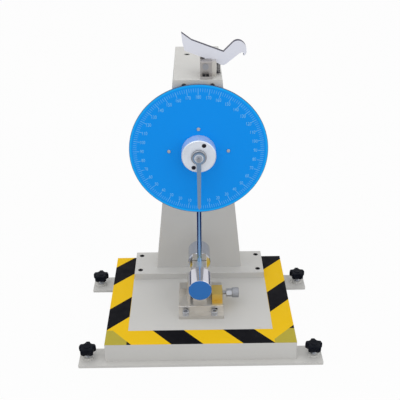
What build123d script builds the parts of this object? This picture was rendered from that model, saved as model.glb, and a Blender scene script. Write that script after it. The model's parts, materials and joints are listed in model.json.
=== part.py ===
from build123d import *

import os
from math import atan, cos, degrees, radians, sin, tan

# Pendulum impact tester for notched plastic bars, bench type, in millimetres.
# +X is to the operator's right, -Y is the front with the dial, +Z is up.
# The origin is on the floor, in the middle of the whole machine's footprint.
# The pendulum turns about an axis along Y and hangs straight down at rest.

os.makedirs("parts", exist_ok=True)

# Fits and clearances
RUNNING_FIT = 0.05          # radial, shaft in bearing, screw in nut, pin in lever
SCREW_FIT = 0.15            # radial, screw shank in its hole
SEAT_FIT = 0.10             # radial or per side, spigot in its register
SLIDE_FIT = 0.20            # per side, sliding jaw in its channel
END_GAP = 0.5               # axial gap beside parts that turn

# Base box and its two foot bars
BASE_WIDTH = 450.0
BASE_DEPTH = 375.0
BASE_HEIGHT = 55.0          # floor to the top face
BASE_PLATE = 8.0
SKIRT_WALL = 6.0
RIB_WALL = 6.0
BAR_LENGTH = 576.0
BAR_WIDTH = 63.0
BAR_THICKNESS = 6.0
FRONT_BAR_OVERHANG = 15.0   # front bar's edge ahead of the base box
REAR_BAR_INSET = 22.0       # rear bar's edge inside the back of the base box
TAPE_WIDTH = 52.0
TAPE_THICKNESS = 0.3

# Levelling feet: a star knob on a screw through each bar end
FOOT_END_MARGIN = 20.0      # screw axis from the bar's end
FOOT_SCREW_D = 12.0
FOOT_SCREW_PITCH = 1.75
FOOT_TRAVEL = 8.0
BOSS_D = 26.0
BOSS_HEIGHT = 4.0
KNOB_D = 41.0
KNOB_HEIGHT = 21.0
KNOB_NECK_D = 19.0
KNOB_NECK_HEIGHT = 5.0
KNOB_LOBES = 5
KNOB_VALLEY_R = 11.0
KNOB_VALLEY_DEPTH = 5.0
KNOB_CAP_D = 16.0
KNOB_CAP_HEIGHT = 1.2
KNOB_EDGE = 1.5

# Pendulum
SWING_SETBACK = 155.0       # swing plane behind the front edge of the base box
PENDULUM_LENGTH = 335.0     # shaft axis to the striking edge
STRIKE_HEIGHT = 105.0       # striking edge above the base top
LATCH_ANGLE = 155.0         # raised angle at which the latch holds the pendulum
SHAFT_D = 15.0
SHAFT_NOSE_D = 8.0
ROD_D = 11.0
HUB_D = 46.0
HUB_LENGTH = 32.0
HUB_SOCKET_D = 22.0
HUB_SOCKET_DROP = 18.0      # socket below the hub's own surface
ROD_IN_HUB = 24.0           # rod's top below the shaft axis
COLLAR_D = 28.0
COLLAR_LENGTH = 10.0
WEIGHT_D = 55.0
WEIGHT_LENGTH = 59.0
WEIGHT_CHAMFER = 1.0
CHEEK_GAP = 62.0            # between the two weights, where the jaws stand
CENTRE_BLOCK_WIDTH = 34.0
CENTRE_BLOCK_RISE = 26.0
CENTRE_BLOCK_DROP = 13.0
CLAMP_SLIT = 3.0
CLAMP_SLIT_DEPTH = 18.0
STRIKER_LENGTH = 24.0
STRIKER_HEIGHT = 12.0
STRIKER_DEPTH = 8.0
STRIKER_REACH = 2.5         # striking edge ahead of the block's face
STRIKER_EDGE_R = 0.8
CATCH_PIN_D = 7.0
CATCH_PIN_RADIUS = 222.3    # from the shaft axis
CATCH_PIN_REACH = 23.0      # behind the swing plane

# Column, arm and bearing plate
FLANGE_WIDTH = 342.0
FLANGE_DEPTH = 106.0
FLANGE_THICKNESS = 18.0
COLUMN_DEPTH = 77.0
COLUMN_WALL = 8.0
COLUMN_FOOT_WIDTH = 225.0   # at the flange
COLUMN_HEAD_WIDTH = 103.0   # at the top of the arm
HEAD_BLOCK_HEIGHT = 30.0
ARM_RISE = 158.0            # arm's top above the shaft axis
ARM_THICKNESS = 24.0
ARM_EDGE = 1.0
BEARING_PLATE = 12.0
BEARING_PLATE_LOBE_R = 84.0
HUB_TO_PLATE = 1.0
COLUMN_BOLT_D = 8.0
FLANGE_BOLT_SPAN = 312.0
FLANGE_BOLT_PITCH = 70.0
ARM_BOLT_SPAN = 47.0
ARM_BOLT_PITCH = 42.0
ARM_BOLT_FRONT = 12.5       # front pair behind the column's front face
PLATE_SCREW_D = 6.0
PLATE_SCREW_SPAN = 60.0
PLATE_SCREW_DEPTH = 24.0

# Bearings and their housings
BEARING_OD = 35.0
BEARING_WIDTH = 11.0
BEARING_RACE = 2.6
BEARING_SEAL = 0.8
HOUSING_D = 75.0
HOUSING_REACH = 42.0        # front housing's face ahead of the bearing plate
HOUSING_EDGE = 1.5
REGISTER_D = 50.0
SPIGOT_D = 20.0
SPIGOT_LENGTH = 9.0
HOUSING_SCREW_D = 6.0
HOUSING_SCREW_CIRCLE = 56.0
HOUSING_SCREW_ANGLE = 66.0
REAR_FLANGE_D = 84.0
REAR_FLANGE = 8.0
REAR_BOSS_D = 54.0
REAR_BOSS_LENGTH = 24.0
REAR_SCREW_CIRCLE = 69.0
REAR_SCREW_COUNT = 4

# Dial and pointer
DIAL_D = 304.0
DIAL_THICKNESS = 3.0
DIAL_STANDOFF = 8.0
DIAL_SCREW_D = 4.0
DIAL_SCREW_RISE = 51.5
DIAL_SCREW_REACH = 65.0
SPACER_D = 9.0
POINTER_BOSS_D = 33.0
POINTER_BOSS_THICKNESS = 6.0
POINTER_LENGTH = 125.0
POINTER_WIDTH = 10.0
POINTER_TIP_WIDTH = 7.0
POINTER_TIP_LENGTH = 7.0
POINTER_THICKNESS = 3.0
SHAFT_NUT_AF = 13.0
SHAFT_NUT_THICKNESS = 6.5

# Release latch on the arm
LEVER_THICKNESS = 12.0
LEVER_BEHIND_SWING = 8.0    # lever's front face behind the swing plane
PIVOT_X = 16.5
PIVOT_RISE = 24.0           # pivot above the arm's top
PIVOT_D = 8.0
PIVOT_HEAD_D = 13.0
PIVOT_HEAD = 2.0
LUG_R = 9.0
BRACKET_LEFT = 5.0
BRACKET_RIGHT = 29.5
BRACKET_HEIGHT = 34.5
BRACKET_FRONT = 22.0        # front cheek's thickness
BRACKET_REAR = 10.0
BRACKET_SCREW_D = 4.0
BRACKET_SCREW_DEPTH = 12.0
BRACKET_SCREW_SPAN = 7.5
BRACKET_TOE = 12.0
BRACKET_TOE_HEIGHT = 6.0
CHEEK_CLEARANCE = 0.5       # lever to each cheek
SPRING_BLOCK_WIDTH = 9.5
SPRING_BLOCK_HEIGHT = 33.0
SPRING_BLOCK_DEPTH = 40.0
SPRING_D = 7.5
SPRING_WIRE = 1.4
SPRING_X = 44.0
SPRING_TOP_DROP = 3.8       # spring's top below the lever's pivot

# Specimen vise on the base
VISE_LEFT = 52.0            # left end from the machine's centre plane
VISE_RIGHT = 58.0
VISE_HEIGHT = 25.0
VISE_FRONT_WALL = 9.0
VISE_REAR_WALL = 28.0
VISE_FLOOR = 6.0
VISE_LEDGE = 19.0
VISE_LEDGE_HEIGHT = 8.0
CHANNEL_WIDTH = 66.0
JAW_WIDTH = 40.0            # upstands, between the two weights
JAW_TOP_DROP = 22.0         # jaw tops below the striking edge
SPECIMEN_THICKNESS = 4.0
SLOT_WIDTH = 6.0            # jaw opening at rest
JAW_OPENING_TRAVEL = 10.0
JAW_CLOSING_TRAVEL = 5.5
FIXED_JAW_LENGTH = 20.0
FIXED_UPSTAND = 7.0
FIXED_JAW_NOTCH = 10.0
FIXED_JAW_NOTCH_DEPTH = 28.0
MOVING_JAW_LENGTH = 35.0
MOVING_UPSTAND = 8.0
MOVING_SHOULDER = 22.0      # shoulder height above the vise top
NUT_BLOCK_LEFT = 30.0
NUT_BLOCK_RIGHT = 56.0
NUT_BLOCK_RISE = 19.0       # above the vise top
CLAMP_SCREW_D = 10.0
CLAMP_SCREW_PITCH = 1.5
CLAMP_AXIS_RISE = 10.0      # above the vise top
CLAMP_TIP_D = 6.0
CLAMP_TIP_LENGTH = 5.0
CLAMP_NECK = 8.0            # bare screw outside the vise
CLAMP_HEX_AF = 18.0
CLAMP_HEX_LENGTH = 14.0
CLAMP_KNOB_D = 25.0
CLAMP_KNOB_LENGTH = 17.0
CLAMP_KNOB_EDGE = 1.5
LEDGE_SCREW_D = 10.0
LEDGE_SCREW_X = 35.0
REAR_SCREW_X = 16.0
SET_SCREW_D = 6.0
SET_SCREW_X = 32.0

# Places worked out from the sizes above
HALF_DEPTH = (BASE_DEPTH + FRONT_BAR_OVERHANG) / 2
BASE_FRONT = FRONT_BAR_OVERHANG - HALF_DEPTH
BASE_REAR = BASE_FRONT + BASE_DEPTH
SWING_Y = BASE_FRONT + SWING_SETBACK
STRIKE_Z = BASE_HEIGHT + STRIKE_HEIGHT
SHAFT_Z = STRIKE_Z + PENDULUM_LENGTH
FLANGE_TOP = BASE_HEIGHT + FLANGE_THICKNESS
ARM_TOP = SHAFT_Z + ARM_RISE
ARM_BOTTOM = ARM_TOP - ARM_THICKNESS
COLUMN_FRONT = BASE_REAR - COLUMN_DEPTH
PLATE_REAR = SWING_Y - HUB_LENGTH / 2 - HUB_TO_PLATE
PLATE_FRONT = PLATE_REAR - BEARING_PLATE
DIAL_REAR = PLATE_FRONT - DIAL_STANDOFF
DIAL_FRONT = DIAL_REAR - DIAL_THICKNESS
HOUSING_FRONT = PLATE_FRONT - HOUSING_REACH
SPIGOT_FRONT = HOUSING_FRONT - SPIGOT_LENGTH
REAR_BEARING_FRONT = COLUMN_FRONT - REAR_BOSS_LENGTH
LEVER_FRONT = SWING_Y + LEVER_BEHIND_SWING
LEVER_REAR = LEVER_FRONT + LEVER_THICKNESS
PIVOT_Z = ARM_TOP + PIVOT_RISE
VISE_TOP = BASE_HEIGHT + VISE_HEIGHT
CHANNEL_FLOOR = BASE_HEIGHT + VISE_FLOOR
CHANNEL_FRONT = SWING_Y - CHANNEL_WIDTH / 2
CHANNEL_REAR = SWING_Y + CHANNEL_WIDTH / 2
JAW_TOP = STRIKE_Z - JAW_TOP_DROP
STRIKE_X = -CENTRE_BLOCK_WIDTH / 2 - STRIKER_REACH
FIXED_FACE = STRIKE_X - SPECIMEN_THICKNESS
MOVING_FACE = FIXED_FACE + SLOT_WIDTH
CLAMP_Z = VISE_TOP + CLAMP_AXIS_RISE
BOSS_TOP = BAR_THICKNESS + BOSS_HEIGHT
KNOB_BOTTOM = BOSS_TOP + FOOT_TRAVEL + END_GAP
RACE_R = SHAFT_D / 2 + RUNNING_FIT + BEARING_RACE
SIDE_SLOPE = (COLUMN_FOOT_WIDTH - COLUMN_HEAD_WIDTH) / 2 / (ARM_TOP - FLANGE_TOP)

FOOT_PLACES = {
    "front_left": (-1, BASE_FRONT - FRONT_BAR_OVERHANG + BAR_WIDTH / 2),
    "front_right": (1, BASE_FRONT - FRONT_BAR_OVERHANG + BAR_WIDTH / 2),
    "rear_left": (-1, BASE_REAR - REAR_BAR_INSET - BAR_WIDTH / 2),
    "rear_right": (1, BASE_REAR - REAR_BAR_INSET - BAR_WIDTH / 2),
}
FOOT_X = BAR_LENGTH / 2 - FOOT_END_MARGIN

made = {}


def keep(name, shape):
    """Write one named sub-part to its STEP file."""
    made[name] = shape
    export_step(shape, f"parts/{name}.step")


def block(x0, x1, y0, y1, z0, z1):
    """Rectangular block between two corners."""
    corner = (Align.MIN, Align.MIN, Align.MIN)
    return Pos(x0, y0, z0) * Box(x1 - x0, y1 - y0, z1 - z0, align=corner)


def along_y(radius, y0, y1, x=0.0, z=0.0):
    """Round bar along Y, from y0 to y1."""
    grow = (Align.CENTER, Align.CENTER, Align.MIN)
    return Pos(x, y0, z) * Rot(-90, 0, 0) * Cylinder(radius, y1 - y0, align=grow)


def along_x(radius, x0, x1, y=0.0, z=0.0):
    """Round bar along X, from x0 to x1."""
    grow = (Align.CENTER, Align.CENTER, Align.MIN)
    return Pos(x0, y, z) * Rot(0, 90, 0) * Cylinder(radius, x1 - x0, align=grow)


def along_z(radius, z0, z1, x=0.0, y=0.0):
    """Round bar along Z, from z0 to z1."""
    grow = (Align.CENTER, Align.CENTER, Align.MIN)
    return Pos(x, y, z0) * Cylinder(radius, z1 - z0, align=grow)


def slab_xz(corners, y0, y1):
    """Plate of a straight-sided outline in the XZ plane, from y0 to y1."""
    outline = Wire.make_polygon([Vector(x, y0, z) for x, z in corners], close=True)
    return extrude(Face(outline), amount=y1 - y0, dir=(0, 1, 0))


def side_half_width(z):
    """Half the width of the frame's tapered front outline at height z."""
    return COLUMN_FOOT_WIDTH / 2 - SIDE_SLOPE * (z - FLANGE_TOP)


def tapered_slab(z0, z1, y0, y1, inset=0.0):
    """Slab between two heights that follows the frame's taper on both sides."""
    low = side_half_width(z0) - inset
    high = side_half_width(z1) - inset
    return slab_xz([(-low, z0), (low, z0), (high, z1), (-high, z1)], y0, y1)


def cap_screw(diameter, length, head=True):
    """Socket cap screw along Z: seat at z = 0, head above, shank below."""
    head_height = diameter
    head_r = 0.8 * diameter
    socket_r = 0.45 * diameter
    screw = Pos(0, 0, -length) * Cylinder(
        diameter / 2, length, align=(Align.CENTER, Align.CENTER, Align.MIN)
    )
    if head:
        cap = along_z(head_r, 0, head_height)
        cap = chamfer(cap.edges().group_by(Axis.Z)[-1], 0.08 * diameter)
        socket = extrude(RegularPolygon(socket_r, 6), amount=0.5 * head_height)
        screw += cap - Pos(0, 0, 0.5 * head_height) * socket
    return screw


def counterbore(diameter, depth, reach):
    """Cutter for a cap screw sunk by depth below z = 0, with its through hole."""
    bore = along_z(0.8 * diameter + SCREW_FIT, -depth, reach)
    return bore + along_z(diameter / 2 + SCREW_FIT, -reach, 0)


def hexagon(across_flats, length):
    """Hexagonal bar along Z from z = 0."""
    return extrude(RegularPolygon(across_flats / 2, 6, major_radius=False), amount=length)


def base():
    """Welded base box: top plate, skirts, ribs, foot bars and their bosses."""
    half = BASE_WIDTH / 2
    under = BASE_HEIGHT - BASE_PLATE
    top = block(-half, half, BASE_FRONT, BASE_REAR, under, BASE_HEIGHT)
    for x, y in flange_bolt_places():
        top -= along_z(COLUMN_BOLT_D / 2 + SCREW_FIT, under, BASE_HEIGHT, x, y)
    for x, y, _ in vise_screw_places():
        top -= along_z(LEDGE_SCREW_D / 2 + SCREW_FIT, under, BASE_HEIGHT, x, y)
    keep("base_top_plate", top)

    inner = half - SKIRT_WALL
    ends = [
        block(-half, half, BASE_FRONT, BASE_FRONT + SKIRT_WALL, BAR_THICKNESS, under),
        block(-half, half, BASE_REAR - SKIRT_WALL, BASE_REAR, BAR_THICKNESS, under),
    ]
    keep("base_end_skirts", Compound(children=ends))
    y0, y1 = BASE_FRONT + SKIRT_WALL, BASE_REAR - SKIRT_WALL
    sides = [
        block(-half, -inner, y0, y1, BAR_THICKNESS, under),
        block(inner, half, y0, y1, BAR_THICKNESS, under),
    ]
    keep("base_side_skirts", Compound(children=sides))
    rib_y = [COLUMN_FRONT - SKIRT_WALL - FLANGE_DEPTH / 2, SWING_Y]
    ribs = [block(-inner, inner, y, y + RIB_WALL, BAR_THICKNESS, under) for y in rib_y]
    keep("base_ribs", Compound(children=ribs))

    bar_half = BAR_LENGTH / 2
    hole = FOOT_SCREW_D / 2 + RUNNING_FIT
    bosses = []
    for row in ("front", "rear"):
        y = FOOT_PLACES[row + "_left"][1]
        bar = block(-bar_half, bar_half, y - BAR_WIDTH / 2, y + BAR_WIDTH / 2, 0, BAR_THICKNESS)
        bar = fillet(bar.edges().filter_by(Axis.Z), 3)
        for side in (-1, 1):
            bar -= along_z(hole, 0, BAR_THICKNESS, side * FOOT_X, y)
            boss = along_z(BOSS_D / 2, BAR_THICKNESS, BOSS_TOP, side * FOOT_X, y)
            boss = chamfer(boss.edges().group_by(Axis.Z)[-1], 1)
            bosses.append(boss - along_z(hole, BAR_THICKNESS, BOSS_TOP, side * FOOT_X, y))
        keep(row + "_foot_bar", bar)
    keep("foot_bar_bosses", Compound(children=bosses))


def hazard_tapes():
    """Adhesive warning tape along the front and both sides of the base top."""
    half = BASE_WIDTH / 2
    z0, z1 = BASE_HEIGHT, BASE_HEIGHT + TAPE_THICKNESS
    sides = [
        block(-half, TAPE_WIDTH - half, BASE_FRONT, BASE_REAR, z0, z1),
        block(half - TAPE_WIDTH, half, BASE_FRONT, BASE_REAR, z0, z1),
    ]
    keep("hazard_tape_sides", Compound(children=sides))
    inner = half - TAPE_WIDTH
    keep("hazard_tape_front", block(-inner, inner, BASE_FRONT, BASE_FRONT + TAPE_WIDTH, z0, z1))


def star_knob_outline():
    """Five-lobed grip outline: a disc with round valleys and rounded lobes."""
    valley_centre = KNOB_D / 2 - KNOB_VALLEY_DEPTH + KNOB_VALLEY_R
    grip = Circle(KNOB_D / 2)
    grip -= PolarLocations(valley_centre, KNOB_LOBES, start_angle=54) * Circle(KNOB_VALLEY_R)
    return fillet(grip.vertices(), 2.5)


def levelling_feet():
    """Four foot screws, each with its star knob above the bar."""
    grip_bottom = KNOB_BOTTOM + KNOB_NECK_HEIGHT
    knob_top = KNOB_BOTTOM + KNOB_HEIGHT
    screw_r = FOOT_SCREW_D / 2
    for place, (side, y) in FOOT_PLACES.items():
        x = side * FOOT_X
        screw = along_z(screw_r, 0, knob_top - KNOB_CAP_HEIGHT - END_GAP, x, y)
        screw = chamfer(screw.edges().group_by(Axis.Z)[0], 1)
        keep("levelling_screw_" + place, screw)
        grip = extrude(star_knob_outline(), amount=knob_top - grip_bottom)
        grip = chamfer(grip.edges().group_by(Axis.Z)[-1], KNOB_EDGE)
        knob = Pos(x, y, grip_bottom) * grip
        knob += along_z(KNOB_NECK_D / 2, KNOB_BOTTOM, grip_bottom, x, y)
        knob += along_z(KNOB_CAP_D / 2, knob_top, knob_top + KNOB_CAP_HEIGHT, x, y)
        knob -= along_z(screw_r + RUNNING_FIT, KNOB_BOTTOM, knob_top - KNOB_CAP_HEIGHT, x, y)
        keep("star_knob_" + place, knob)


def flange_bolt_places():
    """Centres of the four bolts that hold the column down."""
    y = BASE_REAR - FLANGE_DEPTH / 2
    half_x, half_y = FLANGE_BOLT_SPAN / 2, FLANGE_BOLT_PITCH / 2
    return [(sx * half_x, y + sy * half_y) for sx in (-1, 1) for sy in (-1, 1)]


def arm_bolt_places():
    """Centres of the four bolts that hold the arm on the column."""
    first = COLUMN_FRONT + ARM_BOLT_FRONT
    rows = (first, first + ARM_BOLT_PITCH)
    return [(sx * ARM_BOLT_SPAN / 2, y) for sx in (-1, 1) for y in rows]


def column_and_arm():
    """Foot flange, four welded column plates, head block, arm and bolts."""
    half = FLANGE_WIDTH / 2
    head = COLUMN_BOLT_D
    flange = block(-half, half, BASE_REAR - FLANGE_DEPTH, BASE_REAR, BASE_HEIGHT, FLANGE_TOP)
    flange = chamfer(flange.edges().group_by(Axis.Z)[-1], 1)
    bolts = []
    for x, y in flange_bolt_places():
        flange -= Pos(x, y, FLANGE_TOP - head) * counterbore(COLUMN_BOLT_D, 0, FLANGE_THICKNESS)
        length = FLANGE_THICKNESS - head + BASE_PLATE
        bolts.append(Pos(x, y, FLANGE_TOP - head) * cap_screw(COLUMN_BOLT_D, length))
    keep("column_flange", flange)

    inner_front = COLUMN_FRONT + COLUMN_WALL
    inner_rear = BASE_REAR - COLUMN_WALL
    front = tapered_slab(FLANGE_TOP, ARM_BOTTOM, COLUMN_FRONT, inner_front)
    front -= along_y(REGISTER_D / 2, COLUMN_FRONT, inner_front, 0, SHAFT_Z)
    keep("column_front_plate", front)
    keep("column_rear_plate", tapered_slab(FLANGE_TOP, ARM_BOTTOM, inner_rear, BASE_REAR))
    low, high = side_half_width(FLANGE_TOP), side_half_width(ARM_BOTTOM)
    sides = []
    for s in (-1, 1):
        corners = [
            (s * low, FLANGE_TOP), (s * high, ARM_BOTTOM),
            (s * (high - COLUMN_WALL), ARM_BOTTOM), (s * (low - COLUMN_WALL), FLANGE_TOP),
        ]
        sides.append(slab_xz(corners, inner_front, inner_rear))
    keep("column_side_plates", Compound(children=sides))

    head_low = ARM_BOTTOM - HEAD_BLOCK_HEIGHT
    head_block = tapered_slab(head_low, ARM_BOTTOM, inner_front, inner_rear, COLUMN_WALL)
    arm = tapered_slab(ARM_BOTTOM, ARM_TOP, PLATE_REAR, BASE_REAR)
    arm = chamfer(arm.edges().group_by(Axis.Z)[-1], ARM_EDGE)
    seat = ARM_TOP - head - 1
    for x, y in arm_bolt_places():
        arm -= Pos(x, y, seat) * counterbore(COLUMN_BOLT_D, 0, ARM_THICKNESS)
        length = seat - head_low - END_GAP
        bolts.append(Pos(x, y, seat) * cap_screw(COLUMN_BOLT_D, length))
        head_block -= along_z(COLUMN_BOLT_D / 2 + SCREW_FIT, head_low, ARM_BOTTOM, x, y)
    for x in plate_screw_places():
        hole_r = PLATE_SCREW_D / 2 + SCREW_FIT
        arm -= along_y(hole_r, PLATE_REAR, PLATE_REAR + PLATE_SCREW_DEPTH, x, plate_screw_z())
    keep("column_head_block", head_block)
    keep("top_arm", arm)
    keep("column_bolts", Compound(children=bolts))


def plate_screw_places():
    """X places of the screws that hold the bearing plate on the arm's end."""
    return [-PLATE_SCREW_SPAN / 2, PLATE_SCREW_SPAN / 2]


def plate_screw_z():
    """Height of the bearing plate's screws, in the middle of the arm."""
    return (ARM_TOP + ARM_BOTTOM) / 2


def housing_screw_places():
    """Front housing's two screws, opposite each other on their circle."""
    r = HOUSING_SCREW_CIRCLE / 2
    turns = (HOUSING_SCREW_ANGLE, HOUSING_SCREW_ANGLE + 180)
    return [(r * cos(radians(a)), SHAFT_Z + r * sin(radians(a))) for a in turns]


def rear_screw_places():
    """Rear housing's screws, evenly spaced on their circle."""
    r = REAR_SCREW_CIRCLE / 2
    turns = [45 + 360 / REAR_SCREW_COUNT * i for i in range(REAR_SCREW_COUNT)]
    return [(r * cos(radians(a)), SHAFT_Z + r * sin(radians(a))) for a in turns]


def dial_screw_places():
    """Three dial screws: above the shaft and level with it on both sides."""
    level = SHAFT_Z
    return [(0, level + DIAL_SCREW_RISE), (-DIAL_SCREW_REACH, level), (DIAL_SCREW_REACH, level)]


def sealed_bearing(y0):
    """Sealed ball bearing: outer ring with both seals, and inner ring."""
    y1 = y0 + BEARING_WIDTH
    outer_r, bore_r = BEARING_OD / 2, SHAFT_D / 2 + RUNNING_FIT
    outer = along_y(outer_r, y0, y1, 0, SHAFT_Z)
    outer -= along_y(RACE_R + END_GAP, y0, y1, 0, SHAFT_Z)
    groove = along_y(outer_r - BEARING_RACE, y0 + BEARING_SEAL, y1 - BEARING_SEAL, 0, SHAFT_Z)
    inner = along_y(RACE_R, y0, y1, 0, SHAFT_Z) - along_y(bore_r, y0, y1, 0, SHAFT_Z)
    return Compound(children=[outer - groove, inner])


def bearings_and_housings():
    """Bearing plate, both bearing housings, their bearings and screws."""
    hub_half = side_half_width(SHAFT_Z)
    top_half = side_half_width(ARM_TOP)
    corners = [(-hub_half, SHAFT_Z), (hub_half, SHAFT_Z), (top_half, ARM_TOP), (-top_half, ARM_TOP)]
    plate = slab_xz(corners, PLATE_FRONT, PLATE_REAR)
    plate += along_y(BEARING_PLATE_LOBE_R, PLATE_FRONT, PLATE_REAR, 0, SHAFT_Z)
    plate -= along_y(REGISTER_D / 2, PLATE_FRONT, PLATE_REAR, 0, SHAFT_Z)
    screws = []
    for x in plate_screw_places():
        plate -= along_y(PLATE_SCREW_D / 2 + SCREW_FIT, PLATE_FRONT, PLATE_REAR, x, plate_screw_z())
        length = BEARING_PLATE + PLATE_SCREW_DEPTH - END_GAP
        turned = Rot(90, 0, 0) * cap_screw(PLATE_SCREW_D, length)
        screws.append(Pos(x, PLATE_FRONT, plate_screw_z()) * turned)
    for x, z in housing_screw_places():
        plate -= along_y(HOUSING_SCREW_D / 2 + SCREW_FIT, PLATE_FRONT, PLATE_REAR, x, z)
    for x, z in dial_screw_places():
        plate -= along_y(DIAL_SCREW_D / 2 + SCREW_FIT, PLATE_FRONT, PLATE_REAR, x, z)
    for x, y in bracket_screw_places():
        hole_r = BRACKET_SCREW_D / 2 + SCREW_FIT
        plate -= along_z(hole_r, ARM_TOP - BRACKET_SCREW_DEPTH, ARM_TOP, x, y)
    keep("bearing_plate", plate)

    bore_r = BEARING_OD / 2
    race_clear = RACE_R + END_GAP
    body = along_y(HOUSING_D / 2, HOUSING_FRONT, PLATE_FRONT, 0, SHAFT_Z)
    body = chamfer(body.edges().group_by(Axis.Y)[0], HOUSING_EDGE)
    body += along_y(REGISTER_D / 2 - SEAT_FIT, PLATE_FRONT, PLATE_REAR, 0, SHAFT_Z)
    body += along_y(SPIGOT_D / 2, SPIGOT_FRONT, HOUSING_FRONT, 0, SHAFT_Z)
    body -= along_y(bore_r + SEAT_FIT / 2, PLATE_REAR - BEARING_WIDTH, PLATE_REAR, 0, SHAFT_Z)
    body -= along_y(race_clear, HOUSING_FRONT + HOUSING_REACH / 2, PLATE_REAR, 0, SHAFT_Z)
    body -= along_y(SHAFT_NOSE_D / 2 + SEAT_FIT, SPIGOT_FRONT, PLATE_REAR, 0, SHAFT_Z)
    screw_seat = HOUSING_FRONT + HOUSING_SCREW_D + 1
    for x, z in housing_screw_places():
        cutter = Rot(90, 0, 0) * counterbore(HOUSING_SCREW_D, 0, HOUSING_REACH)
        body -= Pos(x, screw_seat, z) * cutter
        length = PLATE_REAR - screw_seat - 1
        screws.append(Pos(x, screw_seat, z) * Rot(90, 0, 0) * cap_screw(HOUSING_SCREW_D, length))
    keep("front_bearing_housing", body)
    keep("front_bearing", sealed_bearing(PLATE_REAR - BEARING_WIDTH))

    flange_front = COLUMN_FRONT - REAR_FLANGE
    rear = along_y(REAR_FLANGE_D / 2, flange_front, COLUMN_FRONT, 0, SHAFT_Z)
    rear += along_y(REAR_BOSS_D / 2, REAR_BEARING_FRONT, flange_front, 0, SHAFT_Z)
    rear = chamfer(rear.edges().group_by(Axis.Y)[0], 1)
    rear += along_y(REGISTER_D / 2 - SEAT_FIT, COLUMN_FRONT, COLUMN_FRONT + COLUMN_WALL, 0, SHAFT_Z)
    pocket_end = REAR_BEARING_FRONT + BEARING_WIDTH
    rear -= along_y(bore_r + SEAT_FIT / 2, REAR_BEARING_FRONT, pocket_end, 0, SHAFT_Z)
    rear -= along_y(race_clear, pocket_end, COLUMN_FRONT, 0, SHAFT_Z)
    for x, z in rear_screw_places():
        rear -= along_y(HOUSING_SCREW_D / 2 + SCREW_FIT, flange_front, COLUMN_FRONT, x, z)
        turned = Rot(90, 0, 0) * cap_screw(HOUSING_SCREW_D, REAR_FLANGE)
        screws.append(Pos(x, flange_front, z) * turned)
    keep("rear_bearing_housing", rear)
    keep("rear_bearing", sealed_bearing(REAR_BEARING_FRONT))
    keep("bearing_screws", Compound(children=screws))


def dial_and_pointer():
    """Round dial on three spacers, and the pointer that stays where it is pushed."""
    dial = along_y(DIAL_D / 2, DIAL_FRONT, DIAL_REAR, 0, SHAFT_Z)
    dial -= along_y(HOUSING_D / 2 + SEAT_FIT, DIAL_FRONT, DIAL_REAR, 0, SHAFT_Z)
    hole_r = DIAL_SCREW_D / 2 + SCREW_FIT
    spacers, screws = [], []
    for x, z in dial_screw_places():
        dial -= along_y(hole_r, DIAL_FRONT, DIAL_REAR, x, z)
        tube = along_y(SPACER_D / 2, DIAL_REAR, PLATE_FRONT, x, z)
        spacers.append(tube - along_y(hole_r, DIAL_REAR, PLATE_FRONT, x, z))
        head = along_y(DIAL_SCREW_D, DIAL_FRONT - DIAL_SCREW_D / 2, DIAL_FRONT, x, z)
        head = fillet(head.edges().group_by(Axis.Y)[0], DIAL_SCREW_D / 4)
        screws.append(head + along_y(DIAL_SCREW_D / 2, DIAL_FRONT, PLATE_REAR - 1, x, z))
    keep("dial_plate", dial)
    keep("dial_spacers", Compound(children=spacers))
    keep("dial_screws", Compound(children=screws))

    boss_rear = HOUSING_FRONT - END_GAP
    boss_front = boss_rear - POINTER_BOSS_THICKNESS
    arm_front = boss_front - POINTER_THICKNESS
    bore_r = SPIGOT_D / 2 + RUNNING_FIT
    boss = along_y(POINTER_BOSS_D / 2, boss_front, boss_rear, 0, SHAFT_Z)
    boss = chamfer(boss.edges().group_by(Axis.Y)[0], 1)
    keep("pointer_boss", boss - along_y(bore_r, boss_front, boss_rear, 0, SHAFT_Z))
    tip_z = SHAFT_Z - POINTER_LENGTH
    neck_z = tip_z + POINTER_TIP_LENGTH
    half, tip = POINTER_WIDTH / 2, POINTER_TIP_WIDTH / 2
    corners = [(-half, SHAFT_Z), (-tip, neck_z), (0, tip_z), (tip, neck_z), (half, SHAFT_Z)]
    arm = slab_xz(corners, arm_front, boss_front)
    arm += along_y(bore_r + 3.5, arm_front, boss_front, 0, SHAFT_Z)
    keep("pointer", arm - along_y(bore_r, arm_front, boss_front, 0, SHAFT_Z))


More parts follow.
